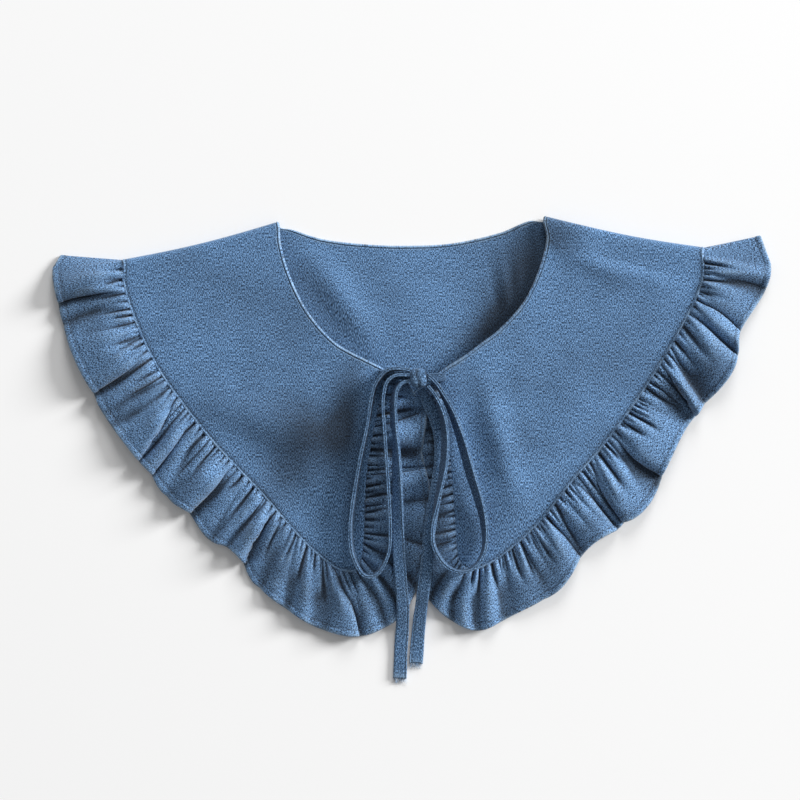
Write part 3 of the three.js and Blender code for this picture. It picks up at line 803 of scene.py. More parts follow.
# Soft painted shade in the denim's colour: beside and inside the bow, and inside the neck. It stands for
# shade that these lamps don't cast. The last column is how dark each one is.
FRONT_SHADE_PATCHES = table(
    SWELL_COLUMNS,
    (-46, 9, 80, 36, 12, 0.85),
    (-76, 4, -24, 40, 18, 0.62),
    (-84, -26, 56, 34, 18, 0.62),
    (24, -4, 84, 32, 6, 0.6),
    (128, 60, -40, 50, 30, 0.2),
    (-120, 96, -20, 50, 16, 0.22),
    (48, -70, 75, 22, 10, 0.25),
    (34, -48, 82, 26, 8, 0.4),
    (-40, -52, 84, 34, 8, 0.4),
)
BACK_SHADE_PATCHES = table(
    SWELL_COLUMNS,
    (82, 112, 66, 50, 24, 1.0),
    (54, 70, 48, 34, 11, 0.75),
    (-72, 98, 126, 44, 12, 0.4),
)
# How far in from an edge each line of the mesh lies, in millimetres, before even steps take over
EDGE_LINES = np.array([0.0, 0.25, 0.5, 0.8, 1.15, 1.5, 1.9, 2.4, 3.2, 4.8, 7.0])
PANEL_EVEN_LINES = 30

panel_denim = denim("denim_of_the_panel", DENIM_BLUE)


def rolled_rows(line, ends, from_level, to_level):
    """A half roll about a line in plan, as rows from one level to the other."""
    first, second = (np.array(line[end]) for end in ends)
    direction = second - first
    inward = unit(np.array([-direction[1], direction[0]]))
    inward = inward if inward[1] < 0 else -inward
    angle = np.linspace(0, math.pi, SHOULDER_ROWS)
    radius = (from_level - to_level) / 2
    inset = abs(radius) * (1 - np.sin(angle))
    height = (from_level + to_level) / 2 + radius * np.cos(angle)
    rows = {}
    for end in ends:
        rows[end + "X"] = line[end][0] + inward[0] * inset
        rows[end + "Y"] = line[end][1] + inward[1] * inset
        rows[end + "Z"] = height
    return rows


def ripple(x, y, size, seed):
    """Soft irregular waves between about -1 and 1 over the plan, with bumps of roughly the given size."""
    chance = np.random.default_rng(seed)
    total = np.zeros_like(x)
    for _ in range(RIPPLE_WAVES):
        turn, phase = chance.uniform(0, 2 * math.pi, 2)
        closeness = 2 * math.pi / (size * chance.uniform(*RIPPLE_SIZES))
        total += np.sin((x * math.cos(turn) + y * math.sin(turn)) * closeness + phase)
    return total / RIPPLE_SCALE


def uneven_wave(lengths, size, drift, drift_size):
    """A wave along an edge between -1 and 1, two pi times the size long, that drifts back and forth."""
    return np.sin(lengths / size + drift * np.sin(lengths / drift_size))


def bands(distance, rows):
    """Soft bands along an edge, added up, from rows of strength, distance from the edge and half width."""
    return sum(strength * np.exp(-(((distance - middle) / half) ** 2)) for strength, middle, half in rows)


def swell_height(swells, x, y):
    rise = np.zeros_like(x)
    for k in range(len(swells["x"])):
        turn = math.radians(swells["turn"][k])
        dx, dy = x - swells["x"][k], y - swells["y"][k]
        along = dx * math.cos(turn) + dy * math.sin(turn)
        over = dy * math.cos(turn) - dx * math.sin(turn)
        shape = np.exp(-((along / swells["length"][k]) ** 2) - (over / swells["width"][k]) ** 2)
        rise += swells["rise"][k] * shape
    return rise


def smooth_step(values, low, high):
    share = np.clip((values - low) / (high - low), 0, 1)
    return share * share * (3 - 2 * share)


panel_rows = joined(
    LEFT_FRONT,
    rolled_rows(LEFT_SHOULDER, ("neck", "seam"), SHOULDER_LEVEL, BACK_LEVEL),
    BACK,
    rolled_rows(RIGHT_SHOULDER, ("neck", "seam"), BACK_LEVEL, SHOULDER_LEVEL),
    reversed_rows(RIGHT_FRONT),
)
PANEL_LAST = len(panel_rows["neckX"]) - 1
LEFT_ROLL = len(LEFT_FRONT["neckX"])
RIGHT_ROLL = PANEL_LAST - len(RIGHT_FRONT["neckX"]) - SHOULDER_ROWS + 1


def panel_places():
    """Places along the panel, close together where its edge is long or rolls over."""
    seam = columns_of(panel_rows, "seamX", "seamY", "seamZ") * MM
    places = [0.0]
    for row in range(PANEL_LAST):
        steps = max(LEAST_COLUMNS, round(np.linalg.norm(seam[row + 1] - seam[row]) / PANEL_COLUMN_SPACING))
        places += list(row + np.arange(1, steps + 1) / steps)
    return np.array(places)


def panel_middle(places, shares):
    """The middle of the cloth in millimetres: one column for each place, one line for each share across."""
    neck = spline(columns_of(panel_rows, "neckX", "neckY", "neckZ"), places)[:, None]
    seam = spline(columns_of(panel_rows, "seamX", "seamY", "seamZ"), places)[:, None]
    points = neck + (seam - neck) * shares[..., None]
    from_centre = np.minimum(places, PANEL_LAST - places)[:, None]
    bow = np.where(places < PANEL_LAST / 2, LEFT_CENTRE_BOW, RIGHT_CENTRE_BOW)[:, None]
    bow_fade = np.maximum(0, 1 - from_centre / CENTRE_BOW_ROWS)
    points[..., 0] += bow * bow_fade * np.sin(math.pi * shares) ** 2
    near_shoulder = np.exp(-(((from_centre - LEFT_ROLL - SHOULDER_ROWS / 2) / SHOULDER_ROWS) ** 2))
    points[..., 1] -= SHOULDER_SAG * near_shoulder * np.sin(math.pi * shares)
    x, y = points[..., 0].copy(), points[..., 1].copy()
    front = smooth_step(LEFT_ROLL - 1 - from_centre, 0, SHOULDER_SOFTNESS)
    inside = np.sin(math.pi * shares)
    points[..., 2] += swell_height(FRONT_SWELLS, x, y) * front * inside
    points[..., 2] += swell_height(BACK_SWELLS, x, y) * (1 - front) * inside
    points[..., 2] = np.maximum(points[..., 2], BACK_LEVEL)
    return points, front


def panel_shares(places):
    """Shares across the panel: fine lines near both edges, even ones between."""
    neck = spline(columns_of(panel_rows, "neckX", "neckY", "neckZ"), places)
    seam = spline(columns_of(panel_rows, "seamX", "seamY", "seamZ"), places)
    width = np.linalg.norm(seam - neck, axis=1)[:, None]
    near = EDGE_LINES[None, :] / width
    between = np.linspace(0, 1, PANEL_EVEN_LINES + 2)[1:-1][None, :]
    even = near[:, -1:] + (1 - 2 * near[:, -1:]) * between
    return np.hstack([near, even, 1 - near[:, ::-1]]), width


def surface_normals(points):
    along = np.gradient(points, axis=0)
    across = np.gradient(points, axis=1)
    return unit(np.cross(along, across))


def shell(name, upper, lower, uv, marks, material):
    """A closed sheet between an upper and a lower grid of points, with rounded long edges."""
    columns, lines = upper.shape[:2]
    middle = (upper + lower) / 2
    half = np.linalg.norm(upper - lower, axis=-1, keepdims=True) / 2
    start_rim = middle[:, :1] + unit(middle[:, :1] - middle[:, 1:2]) * half[:, :1]
    end_rim = middle[:, -1:] + unit(middle[:, -1:] - middle[:, -2:-1]) * half[:, -1:]
    points = np.concatenate([upper, end_rim, lower[:, ::-1], start_rim], axis=1)
    around = points.shape[1]

    def ringed(values):
        return np.concatenate([values, values[:, -1:], values[:, ::-1], values[:, :1]], axis=1)

    index = np.arange(columns * around).reshape(columns, around)
    after = np.roll(index, -1, axis=1)
    faces = np.stack([index[:-1], index[1:], after[1:], after[:-1]], axis=-1).reshape(-1, 4).tolist()
    for end, order in ((0, 1), (columns - 1, -1)):
        ring = index[end]
        for j in range(lines - 1):
            face = [ring[j], ring[j + 1], ring[2 * lines - 1 - j], ring[2 * lines - j]]
            faces.append([int(k) for k in face[::order]])
        faces.append([int(k) for k in (ring[lines - 1], ring[lines], ring[lines + 1])[::order]])
        faces.append([int(k) for k in (ring[0], ring[2 * lines], ring[2 * lines + 1])[::order]])
    flat_marks = {mark: ringed(values).ravel() for mark, values in marks.items()}
    return new_mesh(name, points.reshape(-1, 3), faces, material, ringed(uv).reshape(-1, 2), flat_marks)


places = panel_places()
shares, panel_width = panel_shares(places)
middle, front = panel_middle(places, shares)
from_neck = shares * panel_width
from_seam = (1 - shares) * panel_width
plan_x, plan_y = middle[..., 0], middle[..., 1]
loose = np.sin(math.pi * shares) ** 0.5 * front
for rise, size, seed in PANEL_RIPPLES:
    middle[..., 2] += rise * ripple(plan_x, plan_y, size, seed) * loose
seam_length = lengths_along(middle[:, -1])[:, None]
pucker = uneven_wave(seam_length, *PUCKER_WAVE) * np.exp(-from_seam / PUCKER_REACH)
middle[..., 2] += PUCKER_HEIGHT * pucker * front
middle[..., 2] = np.maximum(middle[..., 2], BACK_LEVEL)
panel_normals = surface_normals(middle)
thickness = PANEL_THICKNESS + bands(from_neck, NECK_RELIEF) + bands(from_seam, SEAM_RELIEF)
upper = in_frame(middle) + panel_normals * (thickness / 2)[..., None]
lower = in_frame(middle) - panel_normals * (thickness / 2)[..., None]
upper[..., 2] = np.maximum(upper[..., 2], 0)
lower[..., 2] = np.maximum(lower[..., 2], 0)
down_the_roll = ROLL_WEAVE * np.minimum(middle[..., 2], SHOULDER_LEVEL)
panel_uv = np.stack([plan_y - down_the_roll, plan_x], axis=-1) * MM
panel_wear = bands(from_neck, NECK_WEAR) + bands(from_seam, SEAM_WEAR)
# Painted shade: in the ditches along the neck and the seam, and in the listed patches.
painted_groove_shade = bands(from_neck, NECK_SHADE_BANDS) + bands(from_seam, SEAM_SHADE_BANDS)
painted_patches = swell_height(FRONT_SHADE_PATCHES, plan_x, plan_y) * front
painted_patches += swell_height(BACK_SHADE_PATCHES, plan_x, plan_y) * (1 - front)
panel = shell(
    "folded_panel",
    upper,
    lower,
    panel_uv,
    {"wear": panel_wear, "painted_shade": np.clip(painted_groove_shade + painted_patches, 0, 1)},
    panel_denim,
)
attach(panel, "root")
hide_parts("collar_panel")

# The ruffle. One strip of denim, cut over half as long again as the edge it is sewn to, gathered tightly
# into the seam, and hemmed narrow with one row of stitches. The gathers run together into broad folds at the
# hem.
RUFFLE_THICKNESS = 0.9 * MM
HEM_THICKNESS = 1.7 * MM
HEM_WIDTH = 3.4
HEM_SOFTNESS = 0.3
RUFFLE_LOWEST = 0.05 * MM
STATION_STEP = 0.05
GATHER_SPACING = 0.62
FOLD_SPACING = 0.3
FOLD_CLOSENESS = 1.3
BACK_SPACING = 2.2
ROLL_SPACING = 0.8
SEAM_UNDERLAP = 0.9
SEAM_DROP = 0.7
RUFFLE_LEVEL = 0.95
BACK_RUFFLE_REST = 0.7
BACK_RUFFLE_RISE = 1.6
BACK_RUFFLE_REACH = 40
BACK_RUFFLE_FOLDS = 16
FOLD_LIP = 2.1
FOLD_LIP_FULL_RISE = 6  # a fold that rises this far has its whole lip
FOLD_LEAN = 0.34  # how far a fold's crest moves towards its sharper side, as a share of its width
FOLD_STEEPNESS = 4.5
FOLD_FULL_SHARE = 0.5  # how far across the ruffle a fold has grown to its whole rise
FOLD_BEND = 2.4
GATHER_SWAY = 5.0
# Uneven waves, as for the puckers: the bend of the folds, the sway of the gathers and the ripple of the hem
FOLD_WAVE = (17, 1.3, 41)
GATHER_WAVE = (13, 1.3, 31)
HEM_WAVE = (0.9, 2.0, 6.0)
HEM_RIPPLE = 0.12
HEM_RIPPLE_SHARES = (0.9, 0.95)
RUFFLE_RIPPLE = 0.25
RUFFLE_RIPPLE_SIZE = 14
PUFF_RISE = 1.7
MOST_GATHERS = 700
# In millimetres: how far past a shoulder the fronts' gathers end, how far before it they start to fade, and
# how far they fade at a neck corner
FRONT_OVERRUN = 1
FRONT_FADE = 6
CORNER_FADE = 3
CREASE_START = 0.05  # how far across the ruffle a crease has its whole depth
CREASE_FADE = 0.45
CREASE_SPREAD = 0.55
CREASE_ROUNDNESS = 1.6
STITCH_PULL = 0.45 * MM
STITCH_PULL_WIDTH = 0.012
# Shade painted along the hem stitches and at the seam
HEM_STITCH_SHADE = 0.5
RUFFLE_SEAM_SHADE = 0.5
RUFFLE_SEAM_SHADE_WIDTH = 0.03
# Painted shade in the dips: over how many columns each way they are measured, and how dark they are
# for each millimetre
SHADE_IN_DIPS = ((4, 0.7), (13, 0.28), (34, 0.12))
NORMAL_COLUMNS = 3
RIDGE_COLUMNS = 3
RIDGE_HEIGHT = 0.4
RIDGE_WEAR = 0.35
HEM_WEAR = 0.9
HEM_WEAR_WIDTH = 0.9
STITCH_SHARE = 0.922
WEAVE_FROM_LINE = 8  # the weave keeps its size on the open part of the ruffle, beyond this line of the mesh
RUFFLE_SHARES = np.array(
    [0, 0.015, 0.035, 0.06, 0.09, 0.13, 0.18, 0.24, 0.31, 0.39, 0.48]
    + [0.57, 0.66, 0.74, 0.81, 0.87, 0.905, STITCH_SHARE, 0.94, 0.965, 0.985, 1.0]
)

# The folds of each front, from the neck corner down the centre front and round to the shoulder. Each row is
# a valley that reaches the hem: how far along the seam it starts, where it meets the hem and how high it is
# there. Then the fold between it and the next: its rise, how sharply it stands up at this end and at the far
# end, and how far the hem swings out round it.
FOLD_COLUMNS = "along hemX hemY rest rise before after bulge"
LEFT_FOLDS = table(
    FOLD_COLUMNS,
    (4, -2.4, 31.1, 11.0, 1.4, 0.2, 0.6, 0.0),
    (16, 6.9, 16.6, 10.4, 0.3, 0.2, 0.2, 0.0),
    (21, 8.8, 22.6, 11.2, 2.2, 0.4, 0.1, 0.0),
    (40, 10.4, 11.4, 10.0, 5.0, 0.6, 0.2, 0.0),
    (58, 7.2, -16.6, 9.0, 1.0, 0.1, 0.6, 0.0),
    (67, 8.5, -27.0, 8.2, 0.2, 0.1, 0.1, 0.0),
    (74, 9.4, -29.6, 9.0, 4.4, 0.7, 0.2, 0.0),
    (97, 12.9, -50.8, 8.2, 3.2, 0.3, 0.3, 0.0),
    (116, 11.5, -84.3, 7.0, 2.0, 0.3, 0.2, 0.0),
    (127, 3.1, -113.0, 4.0, 3.0, 0.2, 0.3, 0.0),
    (134, -7.0, -130.9, 1.6, 2.2, 0.1, 0.1, 0.0),
    (142, -18.5, -139.6, 1.6, 2.6, 0.1, 0.0, 0.0),
    (159, -38.1, -145.9, 1.2, 5.6, 0.9, 0.0, 0.0),
    (172, -66.1, -139.6, 3.8, 3.0, 0.0, 0.0, 0.0),
    (186, -87.5, -126.6, 3.8, 3.0, 0.0, 0.0, 0.0),
    (199, -106.2, -111.8, 2.2, 1.0, 0.0, 0.0, 2.2),
    (217, -117.9, -93.4, 1.2, 8.4, 1.0, 0.1, 0.0),
    (229, -128.8, -83.4, 5.0, 2.4, 0.0, 0.0, 0.0),
    (242, -140.8, -78.6, 3.4, 2.0, 0.0, 0.0, 0.5),
    (260.5, -156.4, -58.4, 1.6, 8.2, 1.0, 0.0, 1.0),
    (280, -171.0, -47.6, 5.0, 2.8, 0.0, 0.2, 1.0),
    (303, -182.3, -31.8, 2.4, 6.0, 0.8, 0.2, 0.0),
    (313, -190.4, -23.4, 3.6, 1.0, 0.0, 0.0, 0.0),
    (322, -192.2, -21.2, 2.2, 8.0, 1.0, 0.0, 0.0),
    (339, -215.9, 10.8, 4.6, 2.8, 0.2, 0.0, 0.0),
    (357, -222.9, 25.5, 2.4, 8.6, 1.0, 0.3, 1.8),
    (393, -243.2, 71.8, 3.2, 1.2, 0.1, 0.0, 0.0),
    (404, -247.4, 89.2, 2.8, 6.4, 0.9, 0.0, 0.0),
    (428, -250.8, 112.5, 3.0, 0.4, 0.0, 0.0, 0.0),
)
RIGHT_FOLDS = table(
    FOLD_COLUMNS,
    (4, 5.9, 27.6, 6.4, 1.0, 0.3, 0.3, 0.0),
    (18, -4.5, 15.7, 6.0, 1.2, 0.3, 0.3, 0.0),
    (39, -9.4, -8.8, 5.0, 1.4, 0.3, 0.3, 0.0),
    (64, -10.8, -33.2, 4.4, 1.0, 0.3, 0.3, 0.0),
    (88, -10.8, -61.2, 4.0, 0.8, 0.3, 0.3, 0.0),
    (116, -3.6, -92.8, 2.6, 1.6, 0.3, 0.3, 0.0),
    (130, 12.4, -120.0, 1.0, 3.0, 0.1, 0.0, 0.0),
    (141, 28.3, -134.8, 2.4, 3.4, 0.0, 0.0, 0.0),
    (150, 46.5, -141.8, 3.0, 3.4, 0.0, 0.0, 0.0),
    (164, 65.6, -134.2, 1.4, 1.0, 0.0, 0.0, -0.8),
    (184, 92.6, -119.6, 6.0, 5.5, 0.0, 0.7, 3.6),
    (208, 117.9, -91.3, 2.4, 7.4, 0.1, 0.6, -2.4),
    (245, 143.6, -71.6, 2.0, 1.4, 0.0, 0.0, 0.0),
    (257, 149.4, -65.6, 2.2, 7.2, 0.9, 0.1, 5.0),
    (282.5, 175.6, -32.6, 2.4, 7.4, 1.0, 0.2, -1.4),
    (322, 196.3, 5.2, 1.4, 0.8, 0.0, 0.0, 0.0),
    (342, 199.8, 9.4, 1.8, 8.6, 1.0, 0.1, 0.0),
    (352, 205.6, 17.6, 3.4, 8.6, 0.0, 0.9, 2.0),
    (384, 227.6, 49.0, 3.0, 6.4, 0.3, 0.7, 0.0),
    (393, 229.8, 67.0, 3.0, 4.0, 0.5, 0.0, 0.0),
    (410, 248.1, 97.6, 2.8, 4.0, 0.3, 0.0, 0.0),
    (428, 251.4, 115.5, 3.0, 0.6, 0.0, 0.0, 0.0),
)

# Creases that die out before the hem: how far along the seam each starts, how far across the ruffle it
# reaches, its depth and half width, and how far it has wandered sideways where it ends.
CREASE_COLUMNS = "along reach depth width drift"
LEFT_CREASES = table(
    CREASE_COLUMNS,
    (32, 0.98, 4.0, 2.6, 3),
    (47, 0.5, 1.6, 1.5, 0),
    (57, 0.98, 4.2, 5.0, 3),
    (70, 0.5, 1.8, 1.5, 0),
    (82, 0.5, 1.2, 1.6, 0),
    (88, 0.6, 1.4, 1.6, 2),
    (148, 0.45, 2.2, 1.3, 1),
    (153, 0.4, 2.0, 1.2, -1),
    (159, 0.8, 3.6, 2.4, -3),
    (169, 0.7, 2.8, 1.8, 0),
    (176, 0.3, 1.8, 1.2, 0),
    (184, 0.6, 2.6, 2.0, 0),
    (194, 0.6, 2.4, 2.0, 1),
    (209, 0.7, 1.8, 1.4, -5),
    (228, 0.7, 2.2, 1.4, -1),
    (239, 0.7, 3.2, 2.6, 1),
    (250, 0.45, 2.2, 1.8, 3),
    (271, 0.3, 2.0, 1.4, 2),
    (278, 0.62, 2.6, 2.0, -2),
    (290, 0.8, 3.4, 3.2, -4),
    (300, 0.34, 2.2, 1.6, 3),
    (330, 0.35, 1.8, 1.4, 1),
    (339, 0.75, 2.6, 1.8, 2),
    (346, 0.6, 1.6, 1.6, 0),
    (366, 0.3, 1.8, 1.4, 1),
    (372, 0.62, 2.8, 3.0, 4),
    (380, 0.3, 1.8, 1.4, 0),
    (387, 0.34, 1.8, 1.3, 2),
    (412, 0.5, 3.0, 2.2, -4),
    (420, 0.32, 2.2, 1.6, 0),
)
RIGHT_CREASES = table(
    CREASE_COLUMNS,
    (84, 0.4, 1.2, 1.4, 0),
    (149, 0.5, 2.6, 1.4, 0),
    (145, 0.32, 2.0, 1.2, 0),
    (159, 0.5, 3.0, 1.6, 4),
    (167, 0.34, 2.2, 1.5, -2),
    (176, 0.6, 3.0, 1.6, 2),
    (183, 0.7, 2.8, 1.6, 1),
    (196, 0.75, 2.6, 1.8, 2),
    (202, 0.3, 1.8, 1.3, 0),
    (208, 0.62, 2.6, 1.8, 0),
    (220, 0.4, 2.4, 2.2, -3),
    (231, 0.26, 1.8, 1.4, 0),
    (238, 0.36, 2.0, 1.6, -2),
    (251, 0.42, 2.0, 1.3, 0),
    (257, 0.8, 3.0, 2.6, 0),
    (266, 0.82, 3.2, 3.0, 2),
    (274, 0.36, 2.4, 1.4, 0),
    (294, 0.55, 2.6, 2.0, 0),
    (302, 0.72, 3.0, 1.7, 0),
    (311, 0.3, 2.0, 1.5, 0),
    (322, 0.6, 2.6, 1.8, 0),
    (361, 0.3, 1.6, 2.2, -2),
    (372, 0.7, 2.2, 2.6, -3),
    (394, 0.3, 1.8, 1.5, 0),
    (400, 0.34, 2.0, 1.6, 0),
    (414, 0.3, 1.8, 1.4, 0),
    (420, 0.55, 2.8, 1.8, -1),
    (431, 0.7, 2.6, 2.2, 2),
)

ruffle_denim = denim("denim_of_the_ruffle", DENIM_BLUE, fleck=2.4)

# The same painted shade on the ruffle: between the two centre fronts, inside the loops, at both shoulders
# and under big folds
RUFFLE_SHADE_PATCHES = table(
    SWELL_COLUMNS,
    (16, -8, 90, 44, 7, 0.9),
    (-1, -17, 0, 9, 8, 0.6),
    (-3, 7, 0, 9, 3, 0.5),
    (6, -86, 90, 30, 12, 0.5),
    (-30, -50, 88, 50, 9, 0.45),
    (22, -70, 90, 24, 8, 0.55),
    (-236, 98, 90, 26, 22, 0.4),
    (232, 112, 60, 26, 22, 0.34),
    (-92, -98, -45, 18, 12, 0.35),
    (92, -103, 40, 24, 15, 0.4),
    (206, 39, 58, 22, 12, 0.5),
    (-54, -121, -20, 26, 12, 0.4),
    (184, 19, -45, 12, 8, 0.6),
    (128, -66, 42, 16, 8, 0.25),
    (-112, -76, -45, 14, 5, 0.3),
)

# The sewn edge, down the left centre front, along the seam and up the right centre front, in millimetres
EDGE_STEPS = 24
edge_shares = np.tile(np.linspace(0, 1, EDGE_STEPS + 1), (len(places), 1))
edge_grid, _ = panel_middle(places, edge_shares)
sewn_edge = np.concatenate([edge_grid[0], edge_grid[1:-1, -1], edge_grid[-1, ::-1]])
edge_lengths = lengths_along(sewn_edge)
EDGE_TOTAL = edge_lengths[-1]


def length_at_place(place):
    return np.interp(place, places, edge_lengths[EDGE_STEPS : EDGE_STEPS + len(places)])


def edge_points(lengths):
    return np.stack([np.interp(lengths, edge_lengths, sewn_edge[:, k]) for k in range(3)], axis=-1)


def plain_folds(along, hem, rest, rise):
    """Even folds with rounded sides, for the shoulders and the back."""
    level = np.ones(len(along))
    return {
        "along": along,
        "hemX": hem[:, 0],
        "hemY": hem[:, 1],
        "rest": rest * level,
        "rise": rise * level,
        "before": 0 * level,
        "after": 0 * level,
        "bulge": 0 * level,
    }


def shoulder_folds(line, first_place, from_level, to_level):
    roll = rolled_rows(line, ("seam", "hem"), from_level, to_level)
    along = length_at_place(first_place + np.arange(SHOULDER_ROWS))
    return plain_folds(along, columns_of(roll, "hemX", "hemY"), roll["hemZ"], 0)


def back_folds(start, end):
    along = start + (end - start) * np.arange(1, BACK_RUFFLE_FOLDS) / BACK_RUFFLE_FOLDS
    direction = edge_points(along + 2) - edge_points(along - 2)
    outward = unit(np.stack([direction[:, 1], -direction[:, 0]], axis=1))
    hem = edge_points(along)[:, :2] + outward * BACK_RUFFLE_REACH
    return plain_folds(along, hem, BACK_RUFFLE_REST, BACK_RUFFLE_RISE)


def turned_folds(rows):
    """A front's folds in the opposite order, where each row still names the fold between it and the next."""
    turned = reversed_rows(rows)
    turned["along"] = EDGE_TOTAL - turned["along"]
    for name in ("rise", "before", "after", "bulge"):
        turned[name] = np.append(turned[name][1:], turned[name][-1])
    turned["before"], turned["after"] = turned["after"], turned["before"]
    return turned


left_roll_end = length_at_place(LEFT_ROLL + SHOULDER_ROWS - 1)
right_roll_start = length_at_place(RIGHT_ROLL)
shoulder_rest = LEFT_FOLDS["rest"][-1]
fold_rows = joined(
    LEFT_FOLDS,
    shoulder_folds(LEFT_SHOULDER, LEFT_ROLL, shoulder_rest, BACK_RUFFLE_REST),
    back_folds(left_roll_end, right_roll_start),
    shoulder_folds(RIGHT_SHOULDER, RIGHT_ROLL, BACK_RUFFLE_REST, shoulder_rest),
    turned_folds(RIGHT_FOLDS),
)
turned_creases = reversed_rows(RIGHT_CREASES)
turned_creases["along"] = EDGE_TOTAL - turned_creases["along"]
turned_creases["drift"] = -turned_creases["drift"]
creases = joined(LEFT_CREASES, turned_creases)


def ruffle_stations():
    """Lengths along the sewn edge where the ruffle has a column: close at folds, wider on the back."""
    ends = (fold_rows["along"][0], fold_rows["along"][-1])
    rolls = (length_at_place(LEFT_ROLL - 0.5), length_at_place(RIGHT_ROLL + SHOULDER_ROWS - 0.5))
    fine = np.arange(ends[0], ends[1], STATION_STEP)
    spacing = np.full(len(fine), GATHER_SPACING)
    spacing[(fine > rolls[0]) & (fine < rolls[1])] = ROLL_SPACING
    spacing[(fine > left_roll_end) & (fine < right_roll_start)] = BACK_SPACING
    for along in np.concatenate([LEFT_FOLDS["along"], EDGE_TOTAL - RIGHT_FOLDS["along"]]):
        near = np.exp(-(((fine - along) / FOLD_CLOSENESS) ** 2))
        spacing = spacing * (1 - near) + FOLD_SPACING * near
    counted = np.concatenate([[0], np.cumsum(STATION_STEP / spacing)])[: len(fine)]
    columns = round(counted[-1])
    return np.interp(np.linspace(0, counted[-1], columns + 1), counted, fine)


def random_valleys(start, end, shortest, longest, seed):
    chance = np.random.default_rng(seed)
    steps = chance.uniform(shortest, longest, int((end - start) / shortest) + 2)
    return start + np.concatenate([[0], np.cumsum(steps)])


def lobes(lengths, valleys, roundness):
    """Rounded lobes between valleys, from 0 in a valley to 1 on a crest, and the number of each lobe."""
    place = np.interp(lengths, valleys, np.arange(len(valleys)))
    number = np.floor(place).astype(int)
    return np.sin(math.pi * (place - number)) ** roundness, number


stations = ruffle_stations()
share = RUFFLE_SHARES[None, :]
bend = FOLD_BEND * uneven_wave(stations, *FOLD_WAVE)[:, None] * np.sin(math.pi * share)
sway = GATHER_SWAY * uneven_wave(stations, *GATHER_WAVE)[:, None] * share**1.5
fold_count = len(fold_rows["along"])
fold_place = np.interp(stations[:, None] + bend, fold_rows["along"], np.arange(fold_count))
fold_number = np.minimum(np.floor(fold_place).astype(int), fold_count - 2)
fold_share = np.clip(fold_place - fold_number, 0, 1)
rise, before, after, bulge = (fold_rows[name][fold_number] for name in ("rise", "before", "after", "bulge"))
crest_share = 0.5 - FOLD_LEAN * (before - after)
climbing = fold_share < crest_share
to_crest = np.where(climbing, 1 - fold_share / crest_share, (fold_share - crest_share) / (1 - crest_share))
sharpness = np.where(climbing, before, after)
soft_side, steep_side = 0.5 + 0.5 * np.cos(math.pi * to_crest), 1 - to_crest**FOLD_STEEPNESS
fold_height = (1 - sharpness) * soft_side + sharpness * steep_side
lip = np.where(climbing, -1, 1) * sharpness * FOLD_LIP * 4 * fold_height * (1 - fold_height)
lip *= np.minimum(1, rise / FOLD_LIP_FULL_RISE)

hem_line = spline(columns_of(fold_rows, "hemX", "hemY", "rest"), fold_place[:, -1])
seam_line = edge_points(stations)
outward = unit(hem_line - seam_line)
hem_line += outward * (bulge * np.sin(math.pi * fold_share))[:, -1:]
start_line = seam_line - outward * SEAM_UNDERLAP
start_line[:, 2] -= SEAM_DROP
hem_direction = unit(np.gradient(hem_line, axis=0))
stretch = 1 + (np.linalg.norm(np.gradient(hem_line, stations, axis=0), axis=1)[:, None] - 1) * share

left_front_end = length_at_place(LEFT_ROLL)
right_front_start = length_at_place(RIGHT_ROLL + SHOULDER_ROWS - 1)
on_front = smooth_step(-stations, -left_front_end - FRONT_OVERRUN, -left_front_end + FRONT_FADE)
on_front += smooth_step(stations, right_front_start - FRONT_OVERRUN, right_front_start + FRONT_FADE)
on_front *= smooth_step(np.minimum(stations, EDGE_TOTAL - stations), 0, CORNER_FADE)
chance = np.random.default_rng(11)


def gathers(rise, base, spacing, roundness, sizes, reaches, full_share, fade, seed):
    """The height of one kind of gather. Each has a size of its own and dies out at its own reach."""
    valleys = random_valleys(0, EDGE_TOTAL, *spacing, seed=seed)
    lobe, number = lobes(stations[:, None] + sway, valleys, roundness)
    size = chance.uniform(*sizes, MOST_GATHERS)[number]
    reach = chance.uniform(*reaches, MOST_GATHERS)[number]
    height = rise * (lobe - base) * size * smooth_step(share, 0.0, full_share)
    return height * np.exp(-((share / reach) ** fade))


fine = gathers(
    rise=3.6,
    base=0.5,
    spacing=(3.0, 6.6),
    roundness=0.8,
    sizes=(0.5, 1.4),
    reaches=(0.1, 0.3),
    full_share=0.05,
    fade=2,
    seed=21,
)
middle_folds = gathers(
    rise=2.4,
    base=0,
    spacing=(6, 12),
    roundness=0.7,
    sizes=(0.4, 1.3),
    reaches=(0.3, 0.75),
    full_share=0.16,
    fade=3,
    seed=22,
)
grow = smooth_step(share, 0.0, FOLD_FULL_SHARE)
puff = PUFF_RISE * np.sin(math.pi * share**0.5)
points = start_line[:, None] + (hem_line - start_line)[:, None] * share[..., None]
points[..., 2] += rise * fold_height * grow + on_front[:, None] * (fine + middle_folds + puff)
for k in range(len(creases["along"])):
    reach = creases["reach"][k]
    wander = creases["drift"][k] * (share / reach) ** 2
    aside = (stations - creases["along"][k])[:, None] * stretch - wander
    aside = aside / (creases["width"][k] * (CREASE_SPREAD + share))
    depth = creases["depth"][k] * smooth_step(share, 0.0, CREASE_START)
    depth = depth * (1 - smooth_step(share, CREASE_FADE * reach, reach))
    points[..., 2] -= depth * np.exp(-np.abs(aside) ** CREASE_ROUNDNESS)
points += hem_direction[:, None] * (lip * grow)[..., None]
ruffle_ripple = RUFFLE_RIPPLE * ripple(points[..., 0], points[..., 1], RUFFLE_RIPPLE_SIZE, seed=9)
points[..., 2] += ruffle_ripple * on_front[:, None] * grow
hem_ripple = HEM_RIPPLE * uneven_wave(stations, *HEM_WAVE)[:, None]
points[..., 2] += hem_ripple * smooth_step(share, *HEM_RIPPLE_SHARES) * on_front[:, None]
points[..., 2] = np.maximum(points[..., 2], RUFFLE_LEVEL)


